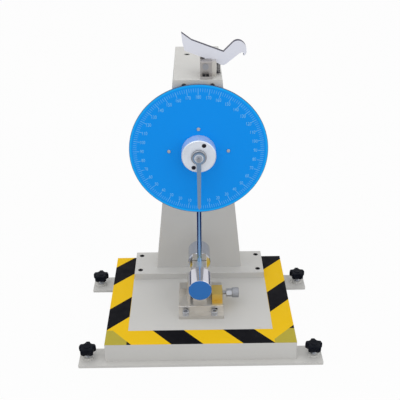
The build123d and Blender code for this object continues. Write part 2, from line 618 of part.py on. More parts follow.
def pendulum():
    """Shaft, hub, rod, the two weights with their centre block, striker and catch pin."""
    nose_start = HOUSING_FRONT + HOUSING_REACH / 2 + END_GAP
    nut_rear = SPIGOT_FRONT - END_GAP
    nut_front = nut_rear - SHAFT_NUT_THICKNESS
    shaft_end = REAR_BEARING_FRONT + BEARING_WIDTH + 4
    shaft = along_y(SHAFT_D / 2, nose_start, shaft_end, 0, SHAFT_Z)
    shaft = chamfer(shaft.edges().group_by(Axis.Y)[-1], 1)
    shaft += along_y(SHAFT_NOSE_D / 2, nut_front - 3, nose_start, 0, SHAFT_Z)
    keep("pendulum_shaft", shaft)
    nut = Pos(0, nut_rear, SHAFT_Z) * Rot(90, 0, 0) * hexagon(SHAFT_NUT_AF, SHAFT_NUT_THICKNESS)
    keep("shaft_end_nut", nut - along_y(SHAFT_NOSE_D / 2, nut_front, nut_rear, 0, SHAFT_Z))
    collar_rear = REAR_BEARING_FRONT - END_GAP
    collar = along_y(COLLAR_D / 2, collar_rear - COLLAR_LENGTH, collar_rear, 0, SHAFT_Z)
    collar = chamfer(collar.edges().filter_by(GeomType.CIRCLE), 0.8)
    keep("shaft_collar", collar - along_y(SHAFT_D / 2, collar_rear - COLLAR_LENGTH, collar_rear, 0, SHAFT_Z))

    hub_y0, hub_y1 = SWING_Y - HUB_LENGTH / 2, SWING_Y + HUB_LENGTH / 2
    socket_end = SHAFT_Z - HUB_D / 2 - HUB_SOCKET_DROP
    rod_top = SHAFT_Z - ROD_IN_HUB
    rod_bottom = STRIKE_Z + CENTRE_BLOCK_RISE - CLAMP_SLIT_DEPTH
    hub = along_y(HUB_D / 2, hub_y0, hub_y1, 0, SHAFT_Z)
    hub = chamfer(hub.edges().filter_by(GeomType.CIRCLE), 1)
    hub += along_z(HUB_SOCKET_D / 2, socket_end, SHAFT_Z - HUB_D / 4, 0, SWING_Y)
    hub -= along_y(SHAFT_D / 2, hub_y0, hub_y1, 0, SHAFT_Z)
    hub -= along_z(ROD_D / 2, socket_end, rod_top, 0, SWING_Y)
    keep("pendulum_hub", hub)
    rod = along_z(ROD_D / 2, rod_bottom, rod_top, 0, SWING_Y)
    pin_z = SHAFT_Z - CATCH_PIN_RADIUS
    pin_r = CATCH_PIN_D / 2
    pin_end = SWING_Y + CATCH_PIN_REACH
    rod -= along_y(pin_r, SWING_Y, SWING_Y + ROD_D, 0, pin_z)
    keep("pendulum_rod", rod)
    pin = along_y(pin_r, SWING_Y, pin_end, 0, pin_z)
    keep("catch_pin", chamfer(pin.edges().group_by(Axis.Y)[-1], 0.6))

    block_front = SWING_Y - CHEEK_GAP / 2
    block_rear = SWING_Y + CHEEK_GAP / 2
    for name, y0 in (("front", block_front - WEIGHT_LENGTH), ("rear", block_rear)):
        weight = along_y(WEIGHT_D / 2, y0, y0 + WEIGHT_LENGTH, 0, STRIKE_Z)
        weight = chamfer(weight.edges().filter_by(GeomType.CIRCLE), WEIGHT_CHAMFER)
        keep(f"hammer_{name}_weight", weight)
    half = CENTRE_BLOCK_WIDTH / 2
    low, high = STRIKE_Z - CENTRE_BLOCK_DROP, STRIKE_Z + CENTRE_BLOCK_RISE
    centre = block(-half, half, block_front, block_rear, low, high)
    centre = chamfer(centre.edges().filter_by(Axis.Y), 1)
    centre -= block(-half, half, SWING_Y - CLAMP_SLIT / 2, SWING_Y + CLAMP_SLIT / 2, rod_bottom, high)
    centre -= along_z(ROD_D / 2, rod_bottom, high, 0, SWING_Y)
    seat = STRIKER_HEIGHT / 2
    y0, y1 = SWING_Y - STRIKER_LENGTH / 2, SWING_Y + STRIKER_LENGTH / 2
    centre -= block(-half, -half + STRIKER_DEPTH, y0, y1, STRIKE_Z - seat, STRIKE_Z + seat)
    keep("hammer_centre_block", centre)
    back = -half + STRIKER_DEPTH
    corners = [
        (back, STRIKE_Z - seat), (-half, STRIKE_Z - seat), (STRIKE_X - STRIKER_EDGE_R, STRIKE_Z),
        (-half, STRIKE_Z + seat), (back, STRIKE_Z + seat),
    ]
    striker = slab_xz(corners, y0, y1)
    edge = striker.edges().filter_by(Axis.Y).sort_by(Axis.X)[0]
    keep("striker", fillet(edge, STRIKER_EDGE_R))


def lever_outline():
    """Outline of the latch lever: thumb tail, valley, rounded crown and beak.

    Points are (x, z) from the pivot, with the beak's notch at the catch pin's
    place when the pendulum is raised to the latch angle.
    """
    lean = radians(180 - LATCH_ANGLE)
    notch_x = CATCH_PIN_RADIUS * sin(lean) - PIVOT_X
    notch_z = SHAFT_Z + CATCH_PIN_RADIUS * cos(lean) - PIVOT_Z
    tail_tip, tail_bend, valley = (-50.5, 66), (-29, 50), (38, 24.5)
    rise, crown, shoulder = (notch_x - 20, 44), (notch_x - 9, 48.5), (notch_x + 2, 44)
    nose, beak = (notch_x + 9, notch_z + 8), (notch_x + 4.5, notch_z - 3.5)
    belly = [(44, -1.5), (39, -4), (33, -3.5), (16, 6), (-10, 15), (-30, 22.5), (-44, 28), (-48.5, 47)]
    lines = [
        Line(tail_tip, tail_bend), Line(tail_bend, valley), Line(valley, rise),
        ThreePointArc(rise, crown, shoulder),
        ThreePointArc(shoulder, (notch_x + 8, notch_z + 16), nose),
        ThreePointArc(nose, (notch_x + 8, notch_z), beak),
        Line(beak, (notch_x - 5, notch_z + 2)), Line((notch_x - 5, notch_z + 2), belly[0]),
        Polyline(*belly), Line(belly[-1], tail_tip),
    ]
    return make_face(Curve() + lines), (notch_x, notch_z)


def latch():
    """Release lever with its lug, pivot pin, clevis bracket, spring and screws."""
    face, (notch_x, notch_z) = lever_outline()
    notch_r = CATCH_PIN_D / 2 + 4 * RUNNING_FIT
    lug = make_hull([*Circle(LUG_R).edges(), *(Pos(LUG_R, LUG_R) * Circle(LUG_R)).edges()])
    face = face + lug - Circle(PIVOT_D / 2 + RUNNING_FIT) - Pos(notch_x, notch_z) * Circle(notch_r)
    flat = extrude(face, amount=LEVER_THICKNESS)
    lever = Pos(PIVOT_X, LEVER_REAR, PIVOT_Z) * Rot(90, 0, 0) * flat
    keep("latch_lever", lever)

    front = LEVER_FRONT - CHEEK_CLEARANCE - BRACKET_FRONT
    slot_front, slot_rear = LEVER_FRONT - CHEEK_CLEARANCE, LEVER_REAR + CHEEK_CLEARANCE
    rear = slot_rear + BRACKET_REAR
    top = ARM_TOP + BRACKET_HEIGHT
    slot_floor = PIVOT_Z - LUG_R - 1
    bracket = block(BRACKET_LEFT, BRACKET_RIGHT, front, rear, ARM_TOP, top)
    bracket = fillet(bracket.edges().group_by(Axis.Z)[-1], 1.5)
    bracket += block(BRACKET_LEFT, BRACKET_RIGHT, front - BRACKET_TOE, front, ARM_TOP, ARM_TOP + BRACKET_TOE_HEIGHT)
    bracket -= block(BRACKET_LEFT, BRACKET_RIGHT, slot_front, slot_rear, slot_floor, top)
    bracket -= along_y(PIVOT_D / 2 + RUNNING_FIT, front, rear, PIVOT_X, PIVOT_Z)
    screws = []
    seat = ARM_TOP + BRACKET_TOE_HEIGHT
    for x, y in bracket_screw_places():
        bracket -= along_z(BRACKET_SCREW_D / 2 + SCREW_FIT, ARM_TOP, seat, x, y)
        length = BRACKET_TOE_HEIGHT + BRACKET_SCREW_DEPTH - END_GAP
        screws.append(Pos(x, y, seat) * cap_screw(BRACKET_SCREW_D, length))
    keep("latch_bracket", bracket)
    keep("latch_bracket_screws", Compound(children=screws))
    pin = along_y(PIVOT_D / 2, front - PIVOT_HEAD / 2, rear + PIVOT_HEAD, PIVOT_X, PIVOT_Z)
    pin += along_y(PIVOT_HEAD_D / 2, front - PIVOT_HEAD, front, PIVOT_X, PIVOT_Z)
    keep("latch_pivot_pin", pin)

    spring_y = (LEVER_FRONT + LEVER_REAR) / 2
    block_front = spring_y - SPRING_BLOCK_DEPTH / 2
    anchor = block(
        BRACKET_RIGHT + SEAT_FIT, BRACKET_RIGHT + SPRING_BLOCK_WIDTH,
        block_front, block_front + SPRING_BLOCK_DEPTH, ARM_TOP, ARM_TOP + SPRING_BLOCK_HEIGHT,
    )
    anchor -= block(
        BRACKET_RIGHT, BRACKET_RIGHT + SPRING_BLOCK_WIDTH,
        slot_front, slot_rear, ARM_TOP + SPRING_BLOCK_HEIGHT / 3, top,
    )
    keep("spring_block", anchor)
    spring_top = PIVOT_Z - SPRING_TOP_DROP
    outer = along_z(SPRING_D / 2, ARM_TOP, spring_top, SPRING_X, spring_y)
    keep("latch_spring", outer - along_z(SPRING_D / 2 - SPRING_WIRE, ARM_TOP, spring_top, SPRING_X, spring_y))


def bracket_screw_places():
    """Centres of the two latch bracket screws, on the bracket's toe."""
    half = BRACKET_SCREW_SPAN / 2
    return [(x, (PLATE_FRONT + PLATE_REAR) / 2) for x in (PIVOT_X - half, PIVOT_X + half)]


def vise_screw_places():
    """Vise screws as (x, y, seat height): two on the ledge, two in the rear wall."""
    ledge_y = CHANNEL_FRONT - VISE_FRONT_WALL - VISE_LEDGE / 2
    rear_y = CHANNEL_REAR + VISE_REAR_WALL / 2
    ledge_seat = BASE_HEIGHT + VISE_LEDGE_HEIGHT
    rear_seat = VISE_TOP - LEDGE_SCREW_D - 1
    places = [(s * LEDGE_SCREW_X, ledge_y, ledge_seat) for s in (-1, 1)]
    return places + [(s * REAR_SCREW_X, rear_y, rear_seat) for s in (-1, 1)]


def vise():
    """Specimen vise: channel body, fixed jaw, moving jaw, nut block and clamp screw."""
    front = CHANNEL_FRONT - VISE_FRONT_WALL
    rear = CHANNEL_REAR + VISE_REAR_WALL
    body = block(-VISE_LEFT, VISE_RIGHT, front, rear, BASE_HEIGHT, VISE_TOP)
    body = chamfer(body.edges().group_by(Axis.Z)[-1], 0.8)
    body += block(-VISE_LEFT, VISE_RIGHT, front - VISE_LEDGE, front, BASE_HEIGHT, BASE_HEIGHT + VISE_LEDGE_HEIGHT)
    body -= block(-VISE_LEFT, VISE_RIGHT, CHANNEL_FRONT, CHANNEL_REAR, CHANNEL_FLOOR, VISE_TOP)
    screws = []
    for x, y, seat in vise_screw_places():
        body -= Pos(x, y, seat) * counterbore(LEDGE_SCREW_D, 0, VISE_HEIGHT)
        length = seat - BASE_HEIGHT + BASE_PLATE
        screws.append(Pos(x, y, seat) * cap_screw(LEDGE_SCREW_D, length))
    set_z = (CHANNEL_FLOOR + VISE_TOP) / 2
    set_screws = []
    for x in (-SET_SCREW_X, SET_SCREW_X + 8):
        body -= along_y(SET_SCREW_D / 2 + SCREW_FIT, front, CHANNEL_FRONT, x, set_z)
        set_screws.append(along_y(SET_SCREW_D / 2, front + 1, CHANNEL_FRONT, x, set_z))
    keep("vise_body", body)
    keep("vise_screws", Compound(children=screws))
    keep("vise_set_screws", Compound(children=set_screws))

    up_front, up_rear = SWING_Y - JAW_WIDTH / 2, SWING_Y + JAW_WIDTH / 2
    low_front, low_rear = CHANNEL_FRONT + SLIDE_FIT, CHANNEL_REAR - SLIDE_FIT
    jaw_left = FIXED_FACE - FIXED_JAW_LENGTH
    upstand_left = FIXED_FACE - FIXED_UPSTAND
    fixed = block(jaw_left, FIXED_FACE, CHANNEL_FRONT, low_rear, CHANNEL_FLOOR, VISE_TOP)
    fixed -= block(
        jaw_left, jaw_left + FIXED_JAW_NOTCH,
        low_rear - FIXED_JAW_NOTCH_DEPTH, low_rear, CHANNEL_FLOOR, VISE_TOP,
    )
    fixed += block(upstand_left, FIXED_FACE, up_front, up_rear, VISE_TOP, JAW_TOP)
    keep("fixed_jaw", fixed)

    right = MOVING_FACE + MOVING_JAW_LENGTH
    shoulder = VISE_TOP + MOVING_SHOULDER
    lower = block(MOVING_FACE, right, low_front, low_rear, CHANNEL_FLOOR + SLIDE_FIT, VISE_TOP)
    corners = [
        (MOVING_FACE, VISE_TOP), (right, VISE_TOP), (right, shoulder),
        (MOVING_FACE + MOVING_UPSTAND + 6, shoulder), (MOVING_FACE + MOVING_UPSTAND, JAW_TOP),
        (MOVING_FACE, JAW_TOP),
    ]
    moving = lower + slab_xz(corners, up_front, up_rear)
    tip_r = CLAMP_TIP_D / 2
    moving -= along_x(tip_r + RUNNING_FIT, right - CLAMP_TIP_LENGTH - END_GAP, right, SWING_Y, CLAMP_Z)
    keep("moving_jaw", moving)

    nut_top = VISE_TOP + NUT_BLOCK_RISE
    nut = block(NUT_BLOCK_LEFT, NUT_BLOCK_RIGHT, CHANNEL_FRONT, low_rear, CHANNEL_FLOOR, VISE_TOP)
    nut += block(NUT_BLOCK_LEFT, NUT_BLOCK_RIGHT, up_front, up_rear, VISE_TOP, nut_top)
    screw_r = CLAMP_SCREW_D / 2
    nut -= along_x(screw_r + RUNNING_FIT, NUT_BLOCK_LEFT, NUT_BLOCK_RIGHT, SWING_Y, CLAMP_Z)
    keep("clamp_nut_block", nut)

    hex_left = VISE_RIGHT + CLAMP_NECK
    hex_right = hex_left + CLAMP_HEX_LENGTH
    knob_right = hex_right + CLAMP_KNOB_LENGTH
    screw = along_x(screw_r, right + END_GAP / 2, hex_left, SWING_Y, CLAMP_Z)
    screw += along_x(tip_r, right - CLAMP_TIP_LENGTH, right + END_GAP / 2, SWING_Y, CLAMP_Z)
    screw += Pos(hex_left, SWING_Y, CLAMP_Z) * Rot(0, 90, 0) * hexagon(CLAMP_HEX_AF, CLAMP_HEX_LENGTH)
    screw += along_x(screw_r, hex_right, knob_right - CLAMP_KNOB_LENGTH / 2, SWING_Y, CLAMP_Z)
    keep("clamp_screw", screw)
    knob = along_x(CLAMP_KNOB_D / 2, hex_right, knob_right, SWING_Y, CLAMP_Z)
    knob = fillet(knob.edges().filter_by(GeomType.CIRCLE), CLAMP_KNOB_EDGE)
    bore_end = knob_right - CLAMP_KNOB_LENGTH / 2
    keep("clamp_knob", knob - along_x(screw_r, hex_right, bore_end, SWING_Y, CLAMP_Z))


base()
hazard_tapes()
levelling_feet()
column_and_arm()
bearings_and_housings()
dial_and_pointer()
pendulum()
latch()
vise()

print("nodes", len(made))
print("shaft axis", 0, SWING_Y, SHAFT_Z, "latch pivot", PIVOT_X, PIVOT_Z)
print("clamp axis", SWING_Y, CLAMP_Z, "feet", FOOT_X, sorted({y for _, y in FOOT_PLACES.values()}))
print("side lean", round(degrees(atan(SIDE_SLOPE)), 2), "slot", FIXED_FACE, MOVING_FACE, JAW_TOP)
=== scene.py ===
"""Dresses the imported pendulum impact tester: camera, light, finishes and fine surfaces.

All places are in metres in the CAD frame: +X to the operator's right, +Y to the
back, +Z up, origin on the floor in the middle of the machine.
"""

import json
import logging
from collections.abc import Callable
from dataclasses import dataclass
from enum import Enum
from math import cos, pi, radians, sin

import bmesh
import bpy
import numpy as np
from mathutils import Matrix

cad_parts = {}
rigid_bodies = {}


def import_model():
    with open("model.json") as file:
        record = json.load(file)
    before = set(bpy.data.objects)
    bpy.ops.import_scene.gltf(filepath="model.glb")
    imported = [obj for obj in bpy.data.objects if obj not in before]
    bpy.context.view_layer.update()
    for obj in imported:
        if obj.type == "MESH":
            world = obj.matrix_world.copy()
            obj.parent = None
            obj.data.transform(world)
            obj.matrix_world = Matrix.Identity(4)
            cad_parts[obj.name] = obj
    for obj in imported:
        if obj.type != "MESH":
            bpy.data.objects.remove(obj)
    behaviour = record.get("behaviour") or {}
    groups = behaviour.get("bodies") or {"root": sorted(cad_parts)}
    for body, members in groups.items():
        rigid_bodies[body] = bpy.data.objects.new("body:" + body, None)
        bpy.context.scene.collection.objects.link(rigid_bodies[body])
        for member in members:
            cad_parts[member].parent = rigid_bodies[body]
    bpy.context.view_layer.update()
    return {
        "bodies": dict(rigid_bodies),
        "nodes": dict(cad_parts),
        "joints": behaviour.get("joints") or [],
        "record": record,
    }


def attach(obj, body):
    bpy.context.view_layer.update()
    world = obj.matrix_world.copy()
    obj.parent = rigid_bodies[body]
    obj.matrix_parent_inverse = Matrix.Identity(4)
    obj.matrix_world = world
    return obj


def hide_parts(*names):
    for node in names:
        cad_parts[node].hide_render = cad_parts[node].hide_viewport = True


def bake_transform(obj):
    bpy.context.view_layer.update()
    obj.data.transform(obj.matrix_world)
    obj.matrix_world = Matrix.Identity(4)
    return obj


log = logging.getLogger("impact_tester")

Color = tuple[float, float, float]
Point = tuple[float, float, float]
Span = tuple[float, float]
Socket = bpy.types.NodeSocket
Sockets = dict[str, Socket]
SHAFT_HEIGHT = 0.495
SHAFT_CENTRE: Point = (0.0, 0.0, SHAFT_HEIGHT)
HAMMER_CENTRE: Point = (0.0, 0.0, 0.16)
SHARP_EDGE = radians(32)
# Distance of two rings that make a sharp step.
RING_GAP = 1e-5
# A thread's wave is slope * wave - crest, cut off at 0 and 1, with so many rings a turn.
THREAD_SLOPE = 1.6
THREAD_CREST = 0.3
THREAD_STEPS = 8


class Body(Enum):
    """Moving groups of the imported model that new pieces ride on, besides the feet."""

    FRAME = "machine_frame"
    LATCH = "latch"
    SPINDLE = "clamp_spindle"


class Grain(Enum):
    """Direction of the fine lines on metal, as a stretch of x, y and z."""

    ALONG_X = (0.02, 1.0, 1.0)
    ALONG_Z = (1.0, 1.0, 0.02)
    ROUND_Y = (1.0, 1.0, 1.0)
    CAST = (0.35, 0.35, 0.35)


def linear(red: float, green: float, blue: float) -> Color:
    """Turns a display colour, each part 0 to 255, into linear values from 0 to 1."""
    share = np.array([red, green, blue]) / 255
    light = np.where(share <= 0.04045, share / 12.92, ((share + 0.055) / 1.055) ** 2.4)
    return (float(light[0]), float(light[1]), float(light[2]))


class Board:
    """Places shader nodes in one tree and joins them."""

    def __init__(self, tree: bpy.types.NodeTree) -> None:
        """Starts with the tree that the nodes go into."""
        self.tree = tree

    def add(self, kind: str, **settings: object) -> bpy.types.Node:
        """Adds one node of Blender's type kind, with the attributes in settings."""
        node = self.tree.nodes.new(kind)
        for key, value in settings.items():
            setattr(node, key, value)
        return node

    def feed(self, value: object, target: Socket) -> None:
        """Links an output socket to the target input, or sets a plain value there."""
        if isinstance(value, Socket):
            self.tree.links.new(value, target)
        else:
            target.default_value = value

    def math(self, operation: str, first: object, second: object = 0.0) -> Socket:
        """Adds a math node for two sockets or numbers and returns its output socket."""
        node = self.add("ShaderNodeMath", operation=operation)
        self.feed(first, node.inputs[0])
        self.feed(second, node.inputs[1])
        return node.outputs[0]

    def vector(self, operation: str, first: object, second: object) -> Socket:
        """Adds a vector math node for two vectors and returns its output socket."""
        node = self.add("ShaderNodeVectorMath", operation=operation)
        self.feed(first, node.inputs[0])
        self.feed(second, node.inputs[1])
        return node.outputs[0]

    def noise(self, place: object, scale: object, detail: float = 2.0) -> Socket:
        """Adds a noise at a place and returns its value's socket."""
        node = self.add("ShaderNodeTexNoise")
        for value, key in ((place, "Vector"), (scale, "Scale"), (detail, "Detail")):
            self.feed(value, node.inputs[key])
        return node.outputs[0]

    def remap(
        self, value: object, low: object, high: object, start: float = 0.0, end: float = 1.0
    ) -> Socket:
        """Maps a value from the range start to end onto the range low to high."""
        node = self.add("ShaderNodeMapRange")
        keys = ("Value", "To Min", "To Max", "From Min", "From Max")
        for given, key in zip((value, low, high, start, end), keys):
            self.feed(given, node.inputs[key])
        return node.outputs[0]

    def mix(self, factor: object, first: object, second: object) -> Socket:
        """Mixes two colours or their sockets, by the second one's share."""
        node = self.add("ShaderNodeMix", data_type="RGBA")
        self.feed(factor, node.inputs[0])
        for value, target in ((first, node.inputs[6]), (second, node.inputs[7])):
            self.feed((*value, 1.0) if isinstance(value, tuple) else value, target)
        return node.outputs[2]

    def place(self) -> Socket:
        """Adds the Object coordinates and returns their socket."""
        return self.add("ShaderNodeTexCoord").outputs["Object"]

    def split(self, vector: Socket) -> list[Socket]:
        """Splits a vector into its x, y and z sockets."""
        node = self.add("ShaderNodeSeparateXYZ")
        self.feed(vector, node.inputs[0])
        return list(node.outputs)

    def group(self, tree: bpy.types.NodeTree, **values: object) -> bpy.types.Node:
        """Places a node group and feeds its inputs by name."""
        node = self.add("ShaderNodeGroup", node_tree=tree)
        for key, value in values.items():
            self.feed(value, node.inputs[key])
        return node


class Groups:
    """Shader node groups that several finishes share, each built once."""

    drift_detail = 4.0
    line_detail = 3.0
    noise_low = 0.3
    noise_high = 0.7

    @staticmethod
    def get(
        name: str,
        inputs: dict[str, str],
        outputs: dict[str, str],
        fill: Callable[[Board, Sockets], Sockets],
    ) -> bpy.types.NodeTree:
        """Returns a group, and builds it first where there is none.

        Args:
            name: Name of the group.
            inputs: Input names and their socket kinds, Float or Vector.
            outputs: Output names and their socket kinds.
            fill: Makes the nodes, from the group's board and its input sockets, and
                returns the sockets that feed the outputs.
        """
        if name in bpy.data.node_groups:
            return bpy.data.node_groups[name]
        tree = bpy.data.node_groups.new(name, "ShaderNodeTree")
        for way, sockets in (("INPUT", inputs), ("OUTPUT", outputs)):
            for key, kind in sockets.items():
                tree.interface.new_socket(name=key, in_out=way, socket_type="NodeSocket" + kind)
        board = Board(tree)
        into, out = board.add("NodeGroupInput"), board.add("NodeGroupOutput")
        for key, socket in fill(board, {key: into.outputs[key] for key in inputs}).items():
            board.feed(socket, out.inputs[key])
        return tree

    @classmethod
    def tone_drift(cls) -> bpy.types.NodeTree:
        """Slow change over a surface: noise, squeezed to the range Low to High."""

        def fill(board: Board, given: Sockets) -> Sockets:
            noise = board.noise(given["Vector"], given["Scale"], cls.drift_detail)
            limits = (given["Low"], given["High"], cls.noise_low, cls.noise_high)
            return {"Tone": board.remap(noise, *limits)}

        inputs = {"Vector": "Vector", "Scale": "Float", "Low": "Float", "High": "Float"}
        return cls.get("tone_drift", inputs, {"Tone": "Float"}, fill)

    @classmethod
    def fine_lines(cls) -> bpy.types.NodeTree:
        """Fine lines: noise on coordinates squeezed along the lines' direction."""

        def fill(board: Board, given: Sockets) -> Sockets:
            scaled = board.vector("MULTIPLY", given["Vector"], given["Stretch"])
            return {"Height": board.noise(scaled, given["Scale"], cls.line_detail)}

        inputs = {"Vector": "Vector", "Stretch": "Vector", "Scale": "Float"}
        return cls.get("fine_lines", inputs, {"Height": "Float"}, fill)

    @classmethod
    def round_about_y(cls) -> bpy.types.NodeTree:
        """Coordinates about an axis along Y: the radius from Centre, and y."""

        def fill(board: Board, given: Sockets) -> Sockets:
            x, y, z = board.split(board.vector("SUBTRACT", given["Vector"], given["Centre"]))
            square = board.math("ADD", board.math("MULTIPLY", x, x), board.math("MULTIPLY", z, z))
            radius = board.math("SQRT", square)
            joined = board.add("ShaderNodeCombineXYZ")
            board.feed(radius, joined.inputs[0])
            board.feed(y, joined.inputs[1])
            return {"Turned": joined.outputs[0], "Radius": radius}

        outputs = {"Turned": "Vector", "Radius": "Float"}
        return cls.get("round_about_y", {"Vector": "Vector", "Centre": "Vector"}, outputs, fill)

    @classmethod
    def stripes(cls) -> bpy.types.NodeTree:
        """Stripe mask: 1 where (Lean + Shift) / Pitch has a fraction below Share."""

        def fill(board: Board, given: Sockets) -> Sockets:
            moved = board.math("ADD", given["Lean"], given["Shift"])
            turns = board.math("FRACT", board.math("DIVIDE", moved, given["Pitch"]))
            return {"Mask": board.math("LESS_THAN", turns, given["Share"])}

        inputs = {"Lean": "Float", "Shift": "Float", "Pitch": "Float", "Share": "Float"}
        return cls.get("stripe_mask", inputs, {"Mask": "Float"}, fill)


@dataclass(frozen=True)
class Drift:
    """Slow noise over a surface: its scale, and its lowest and highest factor."""

    scale: float
    low: float
    high: float


@dataclass(frozen=True)
class Finish:
    """Common part of every finish: name, colour and gloss, and how both drift."""

    name: str
    color: Color
    roughness: float = 0.4
    metallic: float = 0.0
    specular: float = 0.3
    tone: Drift = Drift(14.0, 0.95, 1.03)
    gloss: Drift = Drift(40.0, 0.8, 1.25)
    bump_strength: float = 0.4

    def material(self) -> bpy.types.Material:
        """Builds the material, or returns the one built before."""
        found = bpy.data.materials.get(self.name)
        if found:
            return found
        made = bpy.data.materials.new(self.name)
        made.use_nodes = True
        shader = made.node_tree.nodes["Principled BSDF"]
        board = Board(made.node_tree)
        board.feed((*self.color, 1.0), shader.inputs["Base Color"])
        board.feed(self.roughness, shader.inputs["Roughness"])
        board.feed(self.metallic, shader.inputs["Metallic"])
        board.feed(self.specular, shader.inputs["Specular IOR Level"])
        self.dress(board, shader)
        return made

    def dress(self, board: Board, shader: bpy.types.Node) -> None:
        """Adds what makes this finish more than one flat colour."""
        self.uneven_tone(board, shader)
        self.uneven_gloss(board, shader)

    @staticmethod
    def noise(board: Board, drift: Drift, factor: float = 1.0) -> Socket:
        """Adds a slow noise from the drift's low to its high, each times a factor."""
        low, high = drift.low * factor, drift.high * factor
        group = Groups.tone_drift()
        node = board.group(group, Vector=board.place(), Scale=drift.scale, Low=low, High=high)
        return node.outputs["Tone"]

    def uneven_tone(self, board: Board, shader: bpy.types.Node) -> None:
        """Multiplies the base colour by a slow noise."""
        toned = board.add("ShaderNodeVectorMath", operation="SCALE")
        board.feed(self.color, toned.inputs[0])
        board.feed(self.noise(board, self.tone), toned.inputs["Scale"])
        board.feed(toned.outputs[0], shader.inputs["Base Color"])

    def uneven_gloss(self, board: Board, shader: bpy.types.Node) -> None:
        """Multiplies the roughness by a slow noise."""
        board.feed(self.noise(board, self.gloss, self.roughness), shader.inputs["Roughness"])

    def bump(self, board: Board, shader: bpy.types.Node, height: Socket, distance: float) -> None:
        """Feeds a height, of that depth in metres, into the shader's normal."""
        node = board.add("ShaderNodeBump")
        board.feed(self.bump_strength, node.inputs["Strength"])
        board.feed(distance, node.inputs["Distance"])
        board.feed(height, node.inputs["Height"])
        board.feed(node.outputs[0], shader.inputs["Normal"])

    def rough_skin(self, board: Board, shader: bpy.types.Node, scale: float, depth: float) -> None:
        """Bumps the surface with a noise of that scale, and of that depth in metres."""
        self.bump(board, shader, board.noise(board.place(), scale), depth)


@dataclass(frozen=True)
class Paint(Finish):
    """Sprayed enamel with a fine orange peel."""

    tone: Drift = Drift(6.0, 0.97, 1.02)
    gloss: Drift = Drift(35.0, 0.88, 1.15)
    peel_scale: float = 380.0
    peel_depth: float = 0.00006

    def dress(self, board: Board, shader: bpy.types.Node) -> None:
        """Adds the drift of tone and gloss, and the peel."""
        super().dress(board, shader)
        self.rough_skin(board, shader, self.peel_scale, self.peel_depth)


@dataclass(frozen=True)
class Metal(Finish):
    """Bare or plated metal with the fine lines of its machining."""

    metallic: float = 1.0
    tone: Drift = Drift(30.0, 0.93, 1.03)
    grain: Grain = Grain.ALONG_X
    centre: Point = SHAFT_CENTRE
    line_scale: float = 1500.0
    line_depth: float = 0.00002
    line_gloss: Span = (0.7, 1.4)

    def dress(self, board: Board, shader: bpy.types.Node) -> None:
        """Adds the drift of tone and the machining lines, in gloss and in bump."""
        self.uneven_tone(board, shader)
        place = board.place()
        if self.grain is Grain.ROUND_Y:
            turned = board.group(Groups.round_about_y(), Vector=place, Centre=self.centre)
            place = turned.outputs["Turned"]
        lines = board.group(
            Groups.fine_lines(), Vector=place, Stretch=self.grain.value, Scale=self.line_scale
        )
        self.bump(board, shader, lines.outputs["Height"], self.line_depth)
        low, high = (share * self.roughness for share in self.line_gloss)
        board.feed(board.remap(lines.outputs["Height"], low, high), shader.inputs["Roughness"])


@dataclass(frozen=True)
class EndPainted(Metal):
    """Turned metal whose front end, ahead of a given y, is painted."""

    end_color: Color = (0.1, 0.1, 0.1)
    end_y: float = -0.1146

    def dress(self, board: Board, shader: bpy.types.Node) -> None:
        """Adds the metal's lines, then colours the end and takes its metal away."""
        super().dress(board, shader)
        _, y, _ = board.split(board.place())
        painted = board.math("LESS_THAN", y, self.end_y)
        board.feed(board.mix(painted, self.color, self.end_color), shader.inputs["Base Color"])
        shine = board.math("MULTIPLY", board.math("SUBTRACT", 1.0, painted), self.metallic)
        board.feed(shine, shader.inputs["Metallic"])


@dataclass(frozen=True)
class CutPlate(Paint):
    """Painted plate that faces front and back, coloured dark navy on its cut edges."""

    # Dark navy given to every face that faces neither front nor back, picked by its normal.
    cut_color: Color = linear(40, 38, 62)
    least_facing: float = 0.5

    def dress(self, board: Board, shader: bpy.types.Node) -> None:
        """Adds the paint, then colours what faces neither front nor back as the cut edge."""
        super().dress(board, shader)
        _, across, _ = board.split(board.add("ShaderNodeTexCoord").outputs["Normal"])
        edge = board.math("LESS_THAN", board.math("ABSOLUTE", across), self.least_facing)
        board.feed(board.mix(edge, self.color, self.cut_color), shader.inputs["Base Color"])


@dataclass(frozen=True)
class DialFace(Finish):
    """Dial: blue field, lighter rim and dark outer edge, by the radius from the shaft."""

    gloss: Drift = Drift(18.0, 0.8, 1.25)
    centre: Point = SHAFT_CENTRE
    rim_start: float = 0.1472
    edge_start: float = 0.1511
    rim: Color = linear(14, 164, 246)
    edge: Color = linear(74, 96, 128)

    def dress(self, board: Board, shader: bpy.types.Node) -> None:
        """Colours the dial by its radius and makes its gloss slightly uneven."""
        turned = board.group(Groups.round_about_y(), Vector=board.place(), Centre=self.centre)
        radius = turned.outputs["Radius"]
        face = board.mix(board.math("GREATER_THAN", radius, self.rim_start), self.color, self.rim)
        whole = board.mix(board.math("GREATER_THAN", radius, self.edge_start), face, self.edge)
        board.feed(whole, shader.inputs["Base Color"])
        self.uneven_gloss(board, shader)


